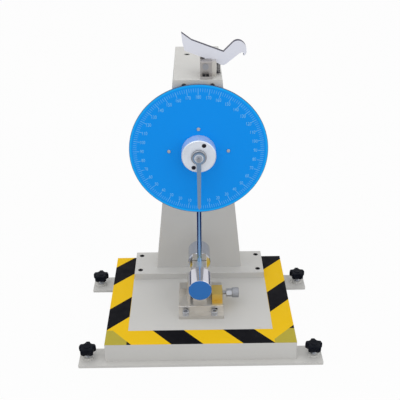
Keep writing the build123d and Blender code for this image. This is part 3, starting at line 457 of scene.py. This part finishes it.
@dataclass(frozen=True)
class HazardTape(Finish):
    """Warning tape: black stripes on yellow, and a dull olive where two tapes overlap.

    The side tapes lean one way and the front tape the other. In the front corners
    the upper tape is slightly see-through, so a black stripe below it looks olive.
    """

    gloss: Drift = Drift(50.0, 0.8, 1.3)
    black: Color = linear(12, 12, 18)
    olive: Color = linear(176, 162, 62)
    side_edge: float = 0.1735
    front_edge: float = -0.1262
    side_lean: float = -1.02
    side_pitch: float = 0.1885
    left_shift: float = -0.104
    right_shift: float = 0.238
    front_lean: float = 0.88
    front_pitch: float = 0.1683
    front_shift: float = 0.227
    share: float = 0.443
    wrinkle_scale: float = 150.0
    wrinkle_depth: float = 0.00008

    def dress(self, board: Board, shader: bpy.types.Node) -> None:
        """Paints the stripes by place: y + lean * x on the sides, and x + lean * y in front."""
        x, y, _ = board.split(board.place())
        on_side = board.math("GREATER_THAN", board.math("ABSOLUTE", x), self.side_edge)
        in_front = board.math("LESS_THAN", y, self.front_edge)
        corner = board.math("MULTIPLY", on_side, in_front)
        on_right = board.math("GREATER_THAN", x, 0.0)
        step = self.right_shift - self.left_shift
        shift = board.math("ADD", board.math("MULTIPLY", on_right, step), self.left_shift)
        lean = board.math("ADD", y, board.math("MULTIPLY", x, self.side_lean))
        stripes, share, pitch = Groups.stripes(), self.share, self.side_pitch
        side = board.group(stripes, Lean=lean, Shift=shift, Pitch=pitch, Share=share)
        lean = board.math("ADD", x, board.math("MULTIPLY", y, self.front_lean))
        shift, pitch = self.front_shift, self.front_pitch
        front = board.group(stripes, Lean=lean, Shift=shift, Pitch=pitch, Share=share)
        side_black = board.math("MULTIPLY", side.outputs["Mask"], on_side)
        front_black = board.math("MULTIPLY", front.outputs["Mask"], in_front)
        striped = board.math("MAXIMUM", side_black, front_black)
        stripe = board.mix(corner, self.black, self.olive)
        board.feed(board.mix(striped, self.color, stripe), shader.inputs["Base Color"])
        self.uneven_gloss(board, shader)
        self.rough_skin(board, shader, self.wrinkle_scale, self.wrinkle_depth)


GREY_PAINT = Paint("grey_enamel", linear(198, 197, 194), roughness=0.5)
TAPE = HazardTape("hazard_tape", linear(232, 188, 24), roughness=0.5, specular=0.06)
DIAL = DialFace("dial_blue_gloss", linear(3, 143, 238), roughness=0.35, specular=0.12)
PRINT = Finish("dial_print", linear(120, 195, 245), roughness=0.5, specular=0.1)
KNOB_PLASTIC = Finish("knob_moulding", linear(5, 9, 20), roughness=0.45, specular=0.1)
# The rod's and the rear weight's chrome carry a blue tint in their colour: a painted blue
# reflection.
CHROME = Metal("hard_chrome", linear(132, 172, 216), roughness=0.08, grain=Grain.ALONG_Z)
CHROME_WEIGHT = Metal(
    "chrome_weight", linear(205, 212, 228), roughness=0.12, grain=Grain.ROUND_Y,
    centre=HAMMER_CENTRE,
)
BLUE_CHROME = EndPainted(
    "blue_weight", linear(204, 204, 212), roughness=0.13, grain=Grain.ROUND_Y,
    centre=HAMMER_CENTRE, end_color=linear(36, 106, 180),
)
TURNED_STEEL = Metal("turned_lines", linear(160, 162, 168), roughness=0.28, grain=Grain.ROUND_Y)
MILLED_STEEL = Metal("milled_steel", linear(214, 211, 206), roughness=0.34)
# The pointer's steel carries a blue-grey tint in its colour: a painted blue reflection.
GROUND_STEEL = Metal("ground_steel", linear(132, 156, 184), roughness=0.22, grain=Grain.ALONG_Z)
BRIGHT_ALLOY = Metal(
    "light_alloy", linear(228, 234, 244), roughness=0.4, metallic=0.6, grain=Grain.ROUND_Y
)
CAST_ALLOY = Metal("cast_alloy", linear(178, 174, 172), roughness=0.4, grain=Grain.CAST)
ZINC = Metal("zinc_plate", linear(184, 187, 194), roughness=0.3, grain=Grain.CAST)
BLACK_OXIDE = Metal(
    "black_oxide", linear(34, 33, 38), roughness=0.42, metallic=0.7, grain=Grain.CAST
)
SPRING_WIRE = Metal("spring_wire", linear(58, 57, 66), roughness=0.3, grain=Grain.CAST)
BRASS = Metal("milled_brass", linear(220, 192, 110), roughness=0.34, metallic=0.8)
WHITE_PAINT = CutPlate("white_enamel", linear(220, 222, 232), roughness=0.45)
CARD = Finish("flag_card", linear(16, 34, 84), roughness=0.9)


class Surfaces:
    """Meshes from arrays: each shape is a function on a grid of two parameters."""

    @staticmethod
    def turns(count: int) -> np.ndarray:
        """Angles of one full turn, without the repeated last one."""
        return np.linspace(0, 2 * pi, count, endpoint=False)

    @staticmethod
    def quads(rows: int, columns: int) -> np.ndarray:
        """Faces of a grid whose last column joins the first: corner numbers, row by row."""
        row = np.arange(rows - 1)[:, None] * columns
        near = np.arange(columns)[None, :]
        far = (near + 1) % columns
        corners = [row + near, row + far, row + columns + far, row + columns + near]
        return np.stack(corners, -1).reshape(-1, 4)

    @classmethod
    def closed(cls, rings: np.ndarray) -> tuple[np.ndarray, list[list[int]]]:
        """Closes a stack of rings, given as (rows, columns, 3), with a pole at each end.

        Returns:
            The points, poles last, and the faces, turned so that they face outwards.
        """
        rows, columns, _ = rings.shape
        poles = np.stack([rings[0].mean(0), rings[-1].mean(0)])
        points = np.concatenate([rings.reshape(-1, 3), poles])
        near = np.arange(columns)
        far = (near + 1) % columns
        first = np.stack([near, np.full(columns, rows * columns), far], -1)
        last_row = (rows - 1) * columns
        last = np.stack([last_row + near, last_row + far, np.full(columns, rows * columns + 1)], -1)
        quads = cls.quads(rows, columns)
        halves = np.concatenate([quads[:, [0, 1, 2]], quads[:, [0, 2, 3]], first, last])
        a, b, c = points[halves[:, 0]], points[halves[:, 1]], points[halves[:, 2]]
        volume = np.einsum("ij,ij->i", a, np.cross(b, c)).sum()
        faces = [*quads.tolist(), *first.tolist(), *last.tolist()]
        return points, faces if volume > 0 else [face[::-1] for face in faces]

    @staticmethod
    def piece(
        name: str, points: np.ndarray, faces: list[list[int]], finish: Finish
    ) -> bpy.types.Object:
        """Puts points, in metres in the CAD frame, and faces into an object with its finish."""
        mesh = bpy.data.meshes.new(name)
        mesh.from_pydata(points.tolist(), [], faces)
        mesh.polygons.foreach_set("use_smooth", np.ones(len(mesh.polygons), bool))
        mesh.set_sharp_from_angle(angle=SHARP_EDGE)
        mesh.materials.append(finish.material())
        made = bpy.data.objects.new(name, mesh)
        bpy.context.scene.collection.objects.link(made)
        return made

    @staticmethod
    def thread(angle: np.ndarray, along: np.ndarray, pitch: float, depth: float) -> np.ndarray:
        """How far a right-hand thread's surface lies below its crest.

        It is a trapezoid wave of along / pitch - angle / (2 pi), with along the distance
        along the axis, and depth at its lowest.
        """
        wave = np.abs(np.mod(along / pitch - angle / (2 * pi), 1.0) - 0.5) * 2
        return depth * np.clip(THREAD_SLOPE * wave - THREAD_CREST, 0, 1)


Dressing = dict[Finish, tuple[str, ...]]


@dataclass
class SubAssembly:
    """A group of CAD nodes with their finishes, and the pieces made for them."""

    frame: dict

    def finishes(self) -> Dressing:
        """Finishes of the CAD nodes that stay as they are."""
        return {}

    def build(self) -> list[bpy.types.Object]:
        """Makes the sub-assembly's own pieces."""
        return []

    def place(self) -> None:
        """Dresses the CAD nodes, builds the pieces and reports them."""
        for finish, names in self.finishes().items():
            for name in names:
                slots = self.frame["nodes"][name].data.materials
                slots.clear()
                slots.append(finish.material())
        for piece in self.build():
            log.info("%s: %s, %d faces", type(self).__name__, piece.name, len(piece.data.polygons))


@dataclass
class BaseBox(SubAssembly):
    """Painted base box on its foot bars, with the warning tape."""

    def finishes(self) -> Dressing:
        """Paint on the box and bars, tape on its top."""
        return {
            GREY_PAINT: (
                "base_top_plate", "base_end_skirts", "base_side_skirts", "base_ribs",
                "front_foot_bar", "rear_foot_bar", "foot_bar_bosses",
            ),
            TAPE: ("hazard_tape_sides", "hazard_tape_front"),
        }


@dataclass
class LevellingFoot(SubAssembly):
    """One levelling foot: a threaded screw and its five-lobed star knob."""

    place_name: str
    x: float
    y: float
    screw_radius: float = 0.006
    pitch: float = 0.00175
    thread_depth: float = 0.0008
    screw_top: float = 0.0378
    knob_bottom: float = 0.0185
    grip_bottom: float = 0.0235
    knob_top: float = 0.0395
    cap_top: float = 0.0407
    neck_radius: float = 0.0095
    cap_radius: float = 0.008
    lobe_radius: float = 0.0205
    valley_radius: float = 0.011
    valley_centre: float = 0.0265
    lobes: int = 5
    first_valley: float = 54.0
    softness: float = 1400.0
    end_chamfer: float = 0.0012
    grip_points: int = 140
    screw_points: int = 28

    def outline(self, angle: np.ndarray) -> np.ndarray:
        """Radius of the grip at each angle.

        A lobe keeps the full radius. In a valley the radius is where the ray leaves
        the valley's circle: c cos(f) - sqrt(v^2 - c^2 sin(f)^2), with f the angle from
        the valley's middle. The two are joined by a soft minimum.
        """
        step = 2 * pi / self.lobes
        from_valley = np.mod(angle - radians(self.first_valley) + step / 2, step) - step / 2
        across = self.valley_centre * np.sin(from_valley)
        root = np.sqrt(np.clip(self.valley_radius**2 - across**2, 0, None))
        valley = np.where(
            np.abs(across) < self.valley_radius,
            self.valley_centre * np.cos(from_valley) - root,
            self.valley_centre,
        )
        soft = np.exp(-self.softness * valley) + np.exp(-self.softness * self.lobe_radius)
        return -np.log(soft) / self.softness

    def rings(self, height: np.ndarray, radius: np.ndarray, angle: np.ndarray) -> np.ndarray:
        """Rings about the foot's axis: (x + r cos a, y + r sin a, height)."""
        x = self.x + radius * np.cos(angle)
        y = self.y + radius * np.sin(angle)
        return np.stack([x, y, np.broadcast_to(height, x.shape)], -1)

    def knob(self) -> bpy.types.Object:
        """Star knob: rings from the round neck to the lobed grip and on to the round cap.

        Each ring is circle + scale * outline(angle), at its own height. The neck and the
        cap have the circle alone and the grip the outline alone. The neck's and the cap's
        rows hold a height and a radius, and the grip's a height and a scale.
        """
        low, high = self.grip_bottom, self.knob_top
        neck, cap, top = self.neck_radius, self.cap_radius, self.cap_top
        neck_rows = [
            (self.knob_bottom, neck - 0.0006), (self.knob_bottom + 0.0005, neck),
            (low - 0.0012, neck), (low - 0.0002, neck + 0.001),
        ]
        grip_rows = [
            (low, 0.72), (low + 0.0002, 0.93), (low + 0.0012, 0.975), (low + 0.003, 0.995),
            (low + 0.35 * (high - low), 1.0), (high - 0.0052, 0.998), (high - 0.0032, 0.985),
            (high - 0.0018, 0.955), (high - 0.0008, 0.905), (high - 0.0002, 0.84),
            (high + 0.0001, 0.76),
        ]
        cap_rows = [
            (high, cap + 0.0002), (high + 0.0002, cap), (top - 0.0004, cap), (top, cap - 0.0004),
            (top, cap - 0.002), (top - 0.0004, cap - 0.0026), (top - 0.0004, 0.001),
        ]
        grip = [(height, 0.0, scale) for height, scale in grip_rows]
        below, above = ([(h, r, 0.0) for h, r in rows] for rows in (neck_rows, cap_rows))
        height, circle, scale = (np.array(v)[:, None] for v in zip(*below, *grip, *above))
        angle = Surfaces.turns(self.grip_points)[None, :]
        radius = circle + scale * self.outline(angle)
        rings = self.rings(height, radius, angle)
        knob = Surfaces.piece(f"grip_{self.place_name}", *Surfaces.closed(rings), KNOB_PLASTIC)
        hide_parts(f"star_knob_{self.place_name}")
        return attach(knob, f"foot_knob_{self.place_name}")

    def screw(self) -> bpy.types.Object:
        """Levelling screw: radius(angle, height) = crest - thread, with chamfered ends."""
        height = np.arange(0, self.screw_top, self.pitch / THREAD_STEPS)[:, None]
        angle = Surfaces.turns(self.screw_points)[None, :]
        groove = Surfaces.thread(angle, height, self.pitch, self.thread_depth)
        from_end = np.minimum(height, self.screw_top - height)
        ends = np.clip(self.end_chamfer - from_end, 0, None)
        radius = self.screw_radius - np.maximum(groove, ends)
        rings = self.rings(height, radius, angle)
        screw = Surfaces.piece(f"foot_stud_{self.place_name}", *Surfaces.closed(rings), ZINC)
        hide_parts(f"levelling_screw_{self.place_name}")
        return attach(screw, f"foot_{self.place_name}")

    def build(self) -> list[bpy.types.Object]:
        """Makes the knob and the screw."""
        return [self.knob(), self.screw()]


@dataclass
class ColumnAndArm(SubAssembly):
    """Tapered column, top arm, bearing plate and their bolts and bearings."""

    def finishes(self) -> Dressing:
        """Paint on the plates, dark bolts and screws, bright housing, turned bearings."""
        return {
            GREY_PAINT: (
                "column_flange", "column_front_plate", "column_rear_plate", "column_side_plates",
                "column_head_block", "top_arm", "bearing_plate", "rear_bearing_housing",
            ),
            BLACK_OXIDE: ("column_bolts",),
            SPRING_WIRE: ("bearing_screws",),
            BRIGHT_ALLOY: ("front_bearing_housing",),
            TURNED_STEEL: ("front_bearing", "rear_bearing"),
        }


@dataclass
class DialUnit(SubAssembly):
    """Dial with its printed scale, and the pointer."""

    face_y: float = -0.065
    print_rise: float = 0.00012
    label_radius: float = 0.1239
    tick_inner: float = 0.1297
    tick_middle: float = 0.1355
    tick_outer: float = 0.1435
    long_width: float = 0.0009
    short_width: float = 0.0006
    tick_step: int = 2
    label_step: int = 10
    top_value: int = 180
    figure_size: float = 0.0112
    figure_narrowing: float = 0.74
    curve_steps: int = 3
    weld: float = 1e-6

    def finishes(self) -> Dressing:
        """Blue dial, zinc screws and spacers, turned boss, ground pointer."""
        return {
            DIAL: ("dial_plate",),
            ZINC: ("dial_spacers", "dial_screws", "shaft_end_nut"),
            TURNED_STEEL: ("pointer_boss",),
            GROUND_STEEL: ("pointer",),
        }

    def ticks(self) -> bpy.types.Object:
        """Tick marks: thin bars from an inner to the outer radius, both ways from 0.

        Corner k of a tick at turn a is (r sin a + s w cos a, -r cos a + s w sin a), with r
        the inner or outer radius and s w half the width to either side.
        """
        value = np.arange(0, self.top_value + 1, self.tick_step)
        turn = np.radians(np.concatenate([value, -value[1:-1]]))[:, None]
        long = (np.concatenate([value, value[1:-1]]) % self.label_step == 0)[:, None]
        inner = np.where(long, self.tick_inner, self.tick_middle)
        half = np.where(long, self.long_width, self.short_width) / 2
        side = np.array([-1, 1, 1, -1])[None, :]
        outer = np.full_like(inner, self.tick_outer)
        radius = np.concatenate([inner, inner, outer, outer], 1)
        x = radius * np.sin(turn) + side * half * np.cos(turn)
        z = SHAFT_HEIGHT - radius * np.cos(turn) + side * half * np.sin(turn)
        back = np.stack([x, np.full_like(x, self.face_y), z], -1)
        front = back - np.array([0, self.print_rise, 0])
        points = np.concatenate([back, front], 1).reshape(-1, 3)
        box = np.array(
            [[0, 1, 2, 3], [7, 6, 5, 4], [0, 4, 5, 1], [1, 5, 6, 2], [2, 6, 7, 3], [3, 7, 4, 0]]
        )
        faces = (box[None] + 8 * np.arange(len(turn))[:, None, None]).reshape(-1, 4)
        return self.printed("dial_ticks", points, faces.tolist())

    def figures(self) -> bpy.types.Object:
        """Upright figures 0 to 180 down both sides, as one mesh of thin raised letters."""
        points, faces, start = [], [], 0
        values = range(0, self.top_value + 1, self.label_step)
        labels = [(v, s) for v in values for s in (-1, 1) if s == 1 or 0 < v < self.top_value]
        for value, side in labels:
            curve = bpy.data.curves.new(f"figure_{value}", "FONT")
            curve.body = str(value)
            curve.size = self.figure_size
            curve.align_x, curve.align_y = "CENTER", "CENTER"
            curve.extrude = self.print_rise / 2
            curve.resolution_u = self.curve_steps
            text = bpy.data.objects.new(f"figure_{value}", curve)
            bpy.context.scene.collection.objects.link(text)
            bpy.context.view_layer.update()
            shaped = text.evaluated_get(bpy.context.evaluated_depsgraph_get())
            mesh = bpy.data.meshes.new_from_object(shaped)
            flat = np.zeros(len(mesh.vertices) * 3)
            mesh.vertices.foreach_get("co", flat)
            flat = flat.reshape(-1, 3)
            turn = radians(value)
            x = side * self.label_radius * sin(turn) + flat[:, 0] * self.figure_narrowing
            z = SHAFT_HEIGHT - self.label_radius * cos(turn) + flat[:, 1]
            points.append(np.stack([x, self.face_y - self.print_rise / 2 - flat[:, 2], z], -1))
            faces += [[start + i for i in face.vertices] for face in mesh.polygons]
            start += len(flat)
            bpy.data.objects.remove(text)
            bpy.data.curves.remove(curve)
            bpy.data.meshes.remove(mesh)
        return self.printed("dial_figures", np.concatenate(points), faces)

    def printed(self, name: str, points: np.ndarray, faces: list[list[int]]) -> bpy.types.Object:
        """Makes one print of the dial: welded, facing outwards and riding on the frame."""
        piece = Surfaces.piece(name, points, faces, PRINT)
        work = bmesh.new()
        work.from_mesh(piece.data)
        bmesh.ops.remove_doubles(work, verts=work.verts, dist=self.weld)
        bmesh.ops.recalc_face_normals(work, faces=work.faces)
        work.to_mesh(piece.data)
        work.free()
        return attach(piece, Body.FRAME.value)

    def build(self) -> list[bpy.types.Object]:
        """Prints the scale on the dial."""
        return [self.ticks(), self.figures()]


@dataclass
class Pendulum(SubAssembly):
    """Shaft, hub, rod, hammer weights and striker."""

    def finishes(self) -> Dressing:
        """Polished rod and weights, turned hub, milled centre block."""
        return {
            TURNED_STEEL: ("pendulum_shaft", "shaft_collar", "pendulum_hub"),
            CHROME: ("pendulum_rod",),
            CHROME_WEIGHT: ("hammer_rear_weight",),
            BLUE_CHROME: ("hammer_front_weight",),
            MILLED_STEEL: ("hammer_centre_block", "striker"),
            ZINC: ("catch_pin",),
        }


@dataclass
class Latch(SubAssembly):
    """Release lever on its bracket, held down by a coil spring."""

    spring_x: float = 0.044
    spring_y: float = -0.011
    foot: float = 0.653
    head: float = 0.6765
    coil_radius: float = 0.0032
    waist: float = 0.2
    wire_radius: float = 0.00075
    coils: int = 8
    coil_steps: int = 18
    wire_sides: int = 8
    seat: float = 0.002

    def finishes(self) -> Dressing:
        """White lever, alloy bracket, steel block, black screws."""
        return {
            WHITE_PAINT: ("latch_lever",),
            CAST_ALLOY: ("latch_bracket",),
            BLACK_OXIDE: ("latch_bracket_screws",),
            TURNED_STEEL: ("latch_pivot_pin",),
            MILLED_STEEL: ("spring_block",),
        }

    def spring(self) -> bpy.types.Object:
        """Coil spring: a round wire along a helix that is slimmer at its waist.

        The helix is (R cos a, R sin a, z), and the wire's round section stands on the
        helix's outward and binormal directions.
        """
        share = np.linspace(0, 1, self.coils * self.coil_steps)[:, None]
        turn = 2 * pi * self.coils * share
        radius = self.coil_radius * (1 + self.waist * (2 * share - 1) ** 2)
        height = self.head - self.foot - 2 * self.wire_radius
        rise = self.foot + self.wire_radius + height * share
        centre = np.concatenate([radius * np.cos(turn), radius * np.sin(turn), rise], 1)
        centre += np.array([self.spring_x, self.spring_y, 0])
        ahead = np.gradient(centre, axis=0)
        ahead /= np.linalg.norm(ahead, axis=1, keepdims=True)
        outward = np.concatenate([np.cos(turn), np.sin(turn), np.zeros_like(turn)], 1)
        outward -= (outward * ahead).sum(1, keepdims=True) * ahead
        outward /= np.linalg.norm(outward, axis=1, keepdims=True)
        across = np.cross(ahead, outward)
        angle = Surfaces.turns(self.wire_sides)[None, :, None]
        section = np.cos(angle) * outward[:, None] + np.sin(angle) * across[:, None]
        wire = self.wire_radius * section
        spring = Surfaces.piece("latch_coil", *Surfaces.closed(centre[:, None] + wire), SPRING_WIRE)
        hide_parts("latch_spring")
        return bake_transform(spring)

    def build(self) -> list[bpy.types.Object]:
        """Makes the spring."""
        return [self.spring()]


@dataclass
class Vise(SubAssembly):
    """Specimen vise with its jaws, brass nut block, clamp screw and knob."""

    y: float = -0.025
    z: float = 0.09
    tip_start: float = 0.0125
    thread_start: float = 0.01775
    hex_start: float = 0.066
    hex_end: float = 0.080
    knob_end: float = 0.097
    tip_radius: float = 0.003
    thread_radius: float = 0.005
    thread_depth: float = 0.0007
    pitch: float = 0.0015
    flat_radius: float = 0.009
    knob_radius: float = 0.0125
    knob_edge: float = 0.0015
    knurls: int = 36
    knurl_depth: float = 0.0004
    corner_share: float = 1.02
    cone_slope: float = 1.7
    screw_points: int = 72
    knurl_points: int = 6
    core_length: float = 0.002
    edge_rows: int = 5
    side_rows: int = 3
    side_inset: float = 1.2

    def finishes(self) -> Dressing:
        """Milled steel body and jaws, brass block, zinc and black screws."""
        return {
            MILLED_STEEL: ("vise_body", "fixed_jaw", "moving_jaw"),
            ZINC: ("vise_screws",),
            BLACK_OXIDE: ("vise_set_screws",),
            BRASS: ("clamp_nut_block",),
        }

    def rings(self, along: np.ndarray, radius: np.ndarray, angle: np.ndarray) -> np.ndarray:
        """Rings about the clamp axis: (along, y + r cos a, z + r sin a)."""
        y = self.y + radius * np.cos(angle)
        z = self.z + radius * np.sin(angle)
        return np.stack([np.broadcast_to(along, y.shape), y, z], -1)

    def spindle(self) -> bpy.types.Object:
        """Clamp screw: tip, thread and hexagon in one surface.

        The radius is the tip's, then crest minus thread, then the hexagon's flat distance
        over cos of the angle from the flat's middle, cut by a cone at both of its ends.
        """
        step = self.pitch / THREAD_STEPS
        tip = np.array([self.tip_start, self.thread_start - RING_GAP])
        threaded = np.arange(self.thread_start, self.hex_start, step)
        six = np.array([0, RING_GAP, 0.0006, 0.0012, 0.013, 0.0134, 0.014]) + self.hex_start
        core = np.array([self.hex_end + RING_GAP, self.hex_end + self.core_length])
        along = np.concatenate([tip, threaded, six, core])[:, None]
        angle = Surfaces.turns(self.screw_points)[None, :]
        groove = Surfaces.thread(angle, along, self.pitch, self.thread_depth)
        flat = np.mod(angle, pi / 3) - pi / 6
        from_end = np.minimum(along - self.hex_start, self.hex_end - along)
        cone = self.flat_radius * self.corner_share + self.cone_slope * from_end
        hexagon = np.minimum(self.flat_radius / np.cos(flat), cone)
        is_tip = along < self.thread_start
        is_hex = (along > self.hex_start) & (along <= self.hex_end)
        radius = np.where(is_tip, self.tip_radius, self.thread_radius - groove)
        radius = np.where(is_hex, hexagon, radius)
        rings = self.rings(along, radius, angle)
        screw = Surfaces.piece("clamp_spindle_screw", *Surfaces.closed(rings), ZINC)
        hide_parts("clamp_screw")
        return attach(screw, Body.SPINDLE.value)

    def knob(self) -> bpy.types.Object:
        """Knurled knob: radius(angle) = R - depth * |sin(n a / 2)|, with round edges."""
        length = self.knob_end - self.hex_end
        bend = np.linspace(0, pi / 2, self.edge_rows)
        edge = self.knob_edge
        start = edge * (1 - np.cos(bend))
        drop = edge * (1 - np.sin(bend))
        inset = edge * self.side_inset
        middle = np.linspace(inset, length - inset, self.side_rows)
        along = np.concatenate([start, middle, length - start[::-1]])[:, None] + self.hex_end
        shrink = np.concatenate([drop, np.zeros(self.side_rows), drop[::-1]])[:, None]
        angle = Surfaces.turns(self.knurls * self.knurl_points)[None, :]
        knurl = self.knurl_depth * np.abs(np.sin(self.knurls * angle / 2))
        radius = self.knob_radius - shrink - knurl * (shrink == 0)
        rings = self.rings(along, radius, angle)
        knob = Surfaces.piece("clamp_grip", *Surfaces.closed(rings), TURNED_STEEL)
        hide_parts("clamp_knob")
        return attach(knob, Body.SPINDLE.value)

    def build(self) -> list[bpy.types.Object]:
        """Makes the clamp screw and its knob."""
        return [self.spindle(), self.knob()]


@dataclass
class Studio:
    """Pale floor, soft lamps, white surroundings and the photograph's camera.

    Angles are in degrees, lamp powers in watts and places in metres.
    """

    camera_place: Point = (-0.0121, -1.5148, 1.1472)
    yaw: float = 0.559
    pitch: float = 28.077
    roll: float = -0.471
    lens: float = 65.34
    sensor: float = 36.0
    farthest: float = 50.0
    surround_level: float = 0.92
    key_place: Point = (-0.8, -0.5, 2.6)
    key_power: float = 9.0
    fill_place: Point = (1.6, -1.6, 1.6)
    fill_power: float = 6.0
    lamp_size: float = 1.6
    aim_height: float = 0.35
    floor_half: float = 6.0
    floor_height: float = -0.0004
    floor_grey: float = 0.7
    floor_roughness: float = 0.9
    floor_glow: float = 0.94
    card_inner: float = 0.31
    card_outer: float = 1.6
    card_depth: Span = (-0.9, 1.3)
    card_height: float = 0.002

    def camera(self) -> None:
        """Stands the camera where the photograph was taken from.

        Forward is (sin yaw cos pitch, cos yaw cos pitch, -sin pitch), and the picture's
        right and up are turned about it by the roll.
        """
        yaw, pitch, roll = radians(self.yaw), radians(self.pitch), radians(self.roll)
        forward = np.array([sin(yaw) * cos(pitch), cos(yaw) * cos(pitch), -sin(pitch)])
        sideways = np.array([cos(yaw), -sin(yaw), 0])
        upward = np.cross(sideways, forward)
        right = cos(roll) * sideways + sin(roll) * upward
        up = -sin(roll) * sideways + cos(roll) * upward
        data = bpy.data.cameras.new("photo_camera")
        data.sensor_fit = "HORIZONTAL"
        data.sensor_width = self.sensor
        data.lens = self.lens
        data.clip_end = self.farthest
        camera = bpy.data.objects.new("photo_camera", data)
        turn = Matrix([[right[i], up[i], -forward[i]] for i in range(3)]).to_4x4()
        camera.matrix_world = Matrix.Translation(self.camera_place) @ turn
        bpy.context.scene.collection.objects.link(camera)
        bpy.context.scene.camera = camera

    @staticmethod
    def sheet(
        name: str, across: Span, deep: Span, height: float, material: bpy.types.Material
    ) -> bpy.types.Object:
        """Lays one flat rectangle, from one x and y to the other, at a height."""
        (x0, x1), (y0, y1) = across, deep
        mesh = bpy.data.meshes.new(name)
        corners = [(x0, y0, height), (x1, y0, height), (x1, y1, height), (x0, y1, height)]
        mesh.from_pydata(corners, [], [[0, 1, 2, 3]])
        mesh.materials.append(material)
        made = bpy.data.objects.new(name, mesh)
        bpy.context.scene.collection.objects.link(made)
        return made

    def floor(self) -> None:
        """Lays a pale floor that the camera sees nearly white and that keeps the shadow."""
        material = bpy.data.materials.new("studio_floor")
        material.use_nodes = True
        board = Board(material.node_tree)
        shader = material.node_tree.nodes["Principled BSDF"]
        board.feed((*[self.floor_grey] * 3, 1.0), shader.inputs["Base Color"])
        board.feed(self.floor_roughness, shader.inputs["Roughness"])
        glow = board.add("ShaderNodeEmission")
        seen = board.add("ShaderNodeLightPath").outputs["Is Camera Ray"]
        mixed = board.add("ShaderNodeMixShader")
        board.feed(board.math("MULTIPLY", seen, self.floor_glow), mixed.inputs[0])
        board.feed(shader.outputs[0], mixed.inputs[1])
        board.feed(glow.outputs[0], mixed.inputs[2])
        output = material.node_tree.nodes["Material Output"]
        board.feed(mixed.outputs[0], output.inputs["Surface"])
        span = (-self.floor_half, self.floor_half)
        floor = self.sheet("studio_floor", span, span, self.floor_height, material)

    def surroundings(self) -> None:
        """White to the camera and in reflections, and a plain level of light for the rest."""
        world = bpy.data.worlds.new("studio")
        bpy.context.scene.world = world
        world.use_nodes = True
        board = Board(world.node_tree)
        path = board.add("ShaderNodeLightPath")
        shown = board.math("MAXIMUM", path.outputs["Is Camera Ray"], path.outputs["Is Glossy Ray"])
        shown = board.math("MAXIMUM", shown, path.outputs["Is Transmission Ray"])
        level = self.surround_level
        strength = board.math("ADD", board.math("MULTIPLY", shown, 1 - level), level)
        background = world.node_tree.nodes["Background"]
        board.feed((1.0, 1.0, 1.0, 1.0), background.inputs["Color"])
        board.feed(strength, background.inputs["Strength"])

    def lamp(self, name: str, place: Point, power: float) -> None:
        """Hangs a soft square lamp that points at the middle of the machine."""
        data = bpy.data.lights.new(name, "AREA")
        data.energy = power
        data.size = self.lamp_size
        lamp = bpy.data.objects.new(name, data)
        away = np.array(place) - np.array([0, 0, self.aim_height])
        away /= np.linalg.norm(away)
        side = np.cross([0, 0, 1], away)
        side /= np.linalg.norm(side)
        upward = np.cross(away, side)
        turn = Matrix([[side[i], upward[i], away[i]] for i in range(3)]).to_4x4()
        lamp.matrix_world = Matrix.Translation(place) @ turn
        bpy.context.scene.collection.objects.link(lamp)

    def flag(self, name: str, across: Span) -> None:
        """Lays a dark card that only reflections see, for the dark edges in the metal."""
        card = self.sheet(name, across, self.card_depth, self.card_height, CARD.material())
        card.visible_camera = False
        card.visible_diffuse = False
        card.visible_shadow = False

    def build(self) -> None:
        """Sets up camera, floor, light and cards."""
        self.camera()
        self.floor()
        self.surroundings()
        self.lamp("key_lamp", self.key_place, self.key_power)
        self.lamp("fill_lamp", self.fill_place, self.fill_power)
        self.flag("flag_left", (-self.card_outer, -self.card_inner))
        self.flag("flag_right", (self.card_inner, self.card_outer))
        bpy.context.scene.view_settings.view_transform = "Standard"


FEET: dict[str, Span] = {
    "front_left": (-0.268, -0.1635),
    "front_right": (0.268, -0.1635),
    "rear_left": (-0.268, 0.1415),
    "rear_right": (0.268, 0.1415),
}


def main() -> None:
    """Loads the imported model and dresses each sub-assembly."""
    logging.basicConfig(level=logging.INFO)
    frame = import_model()
    Studio().build()
    kinds = (BaseBox, ColumnAndArm, DialUnit, Pendulum, Latch, Vise)
    assemblies: list[SubAssembly] = [kind(frame) for kind in kinds]
    assemblies += [LevellingFoot(frame, name, x, y) for name, (x, y) in FEET.items()]
    for assembly in assemblies:
        assembly.place()


if __name__ == "__main__":
    main()
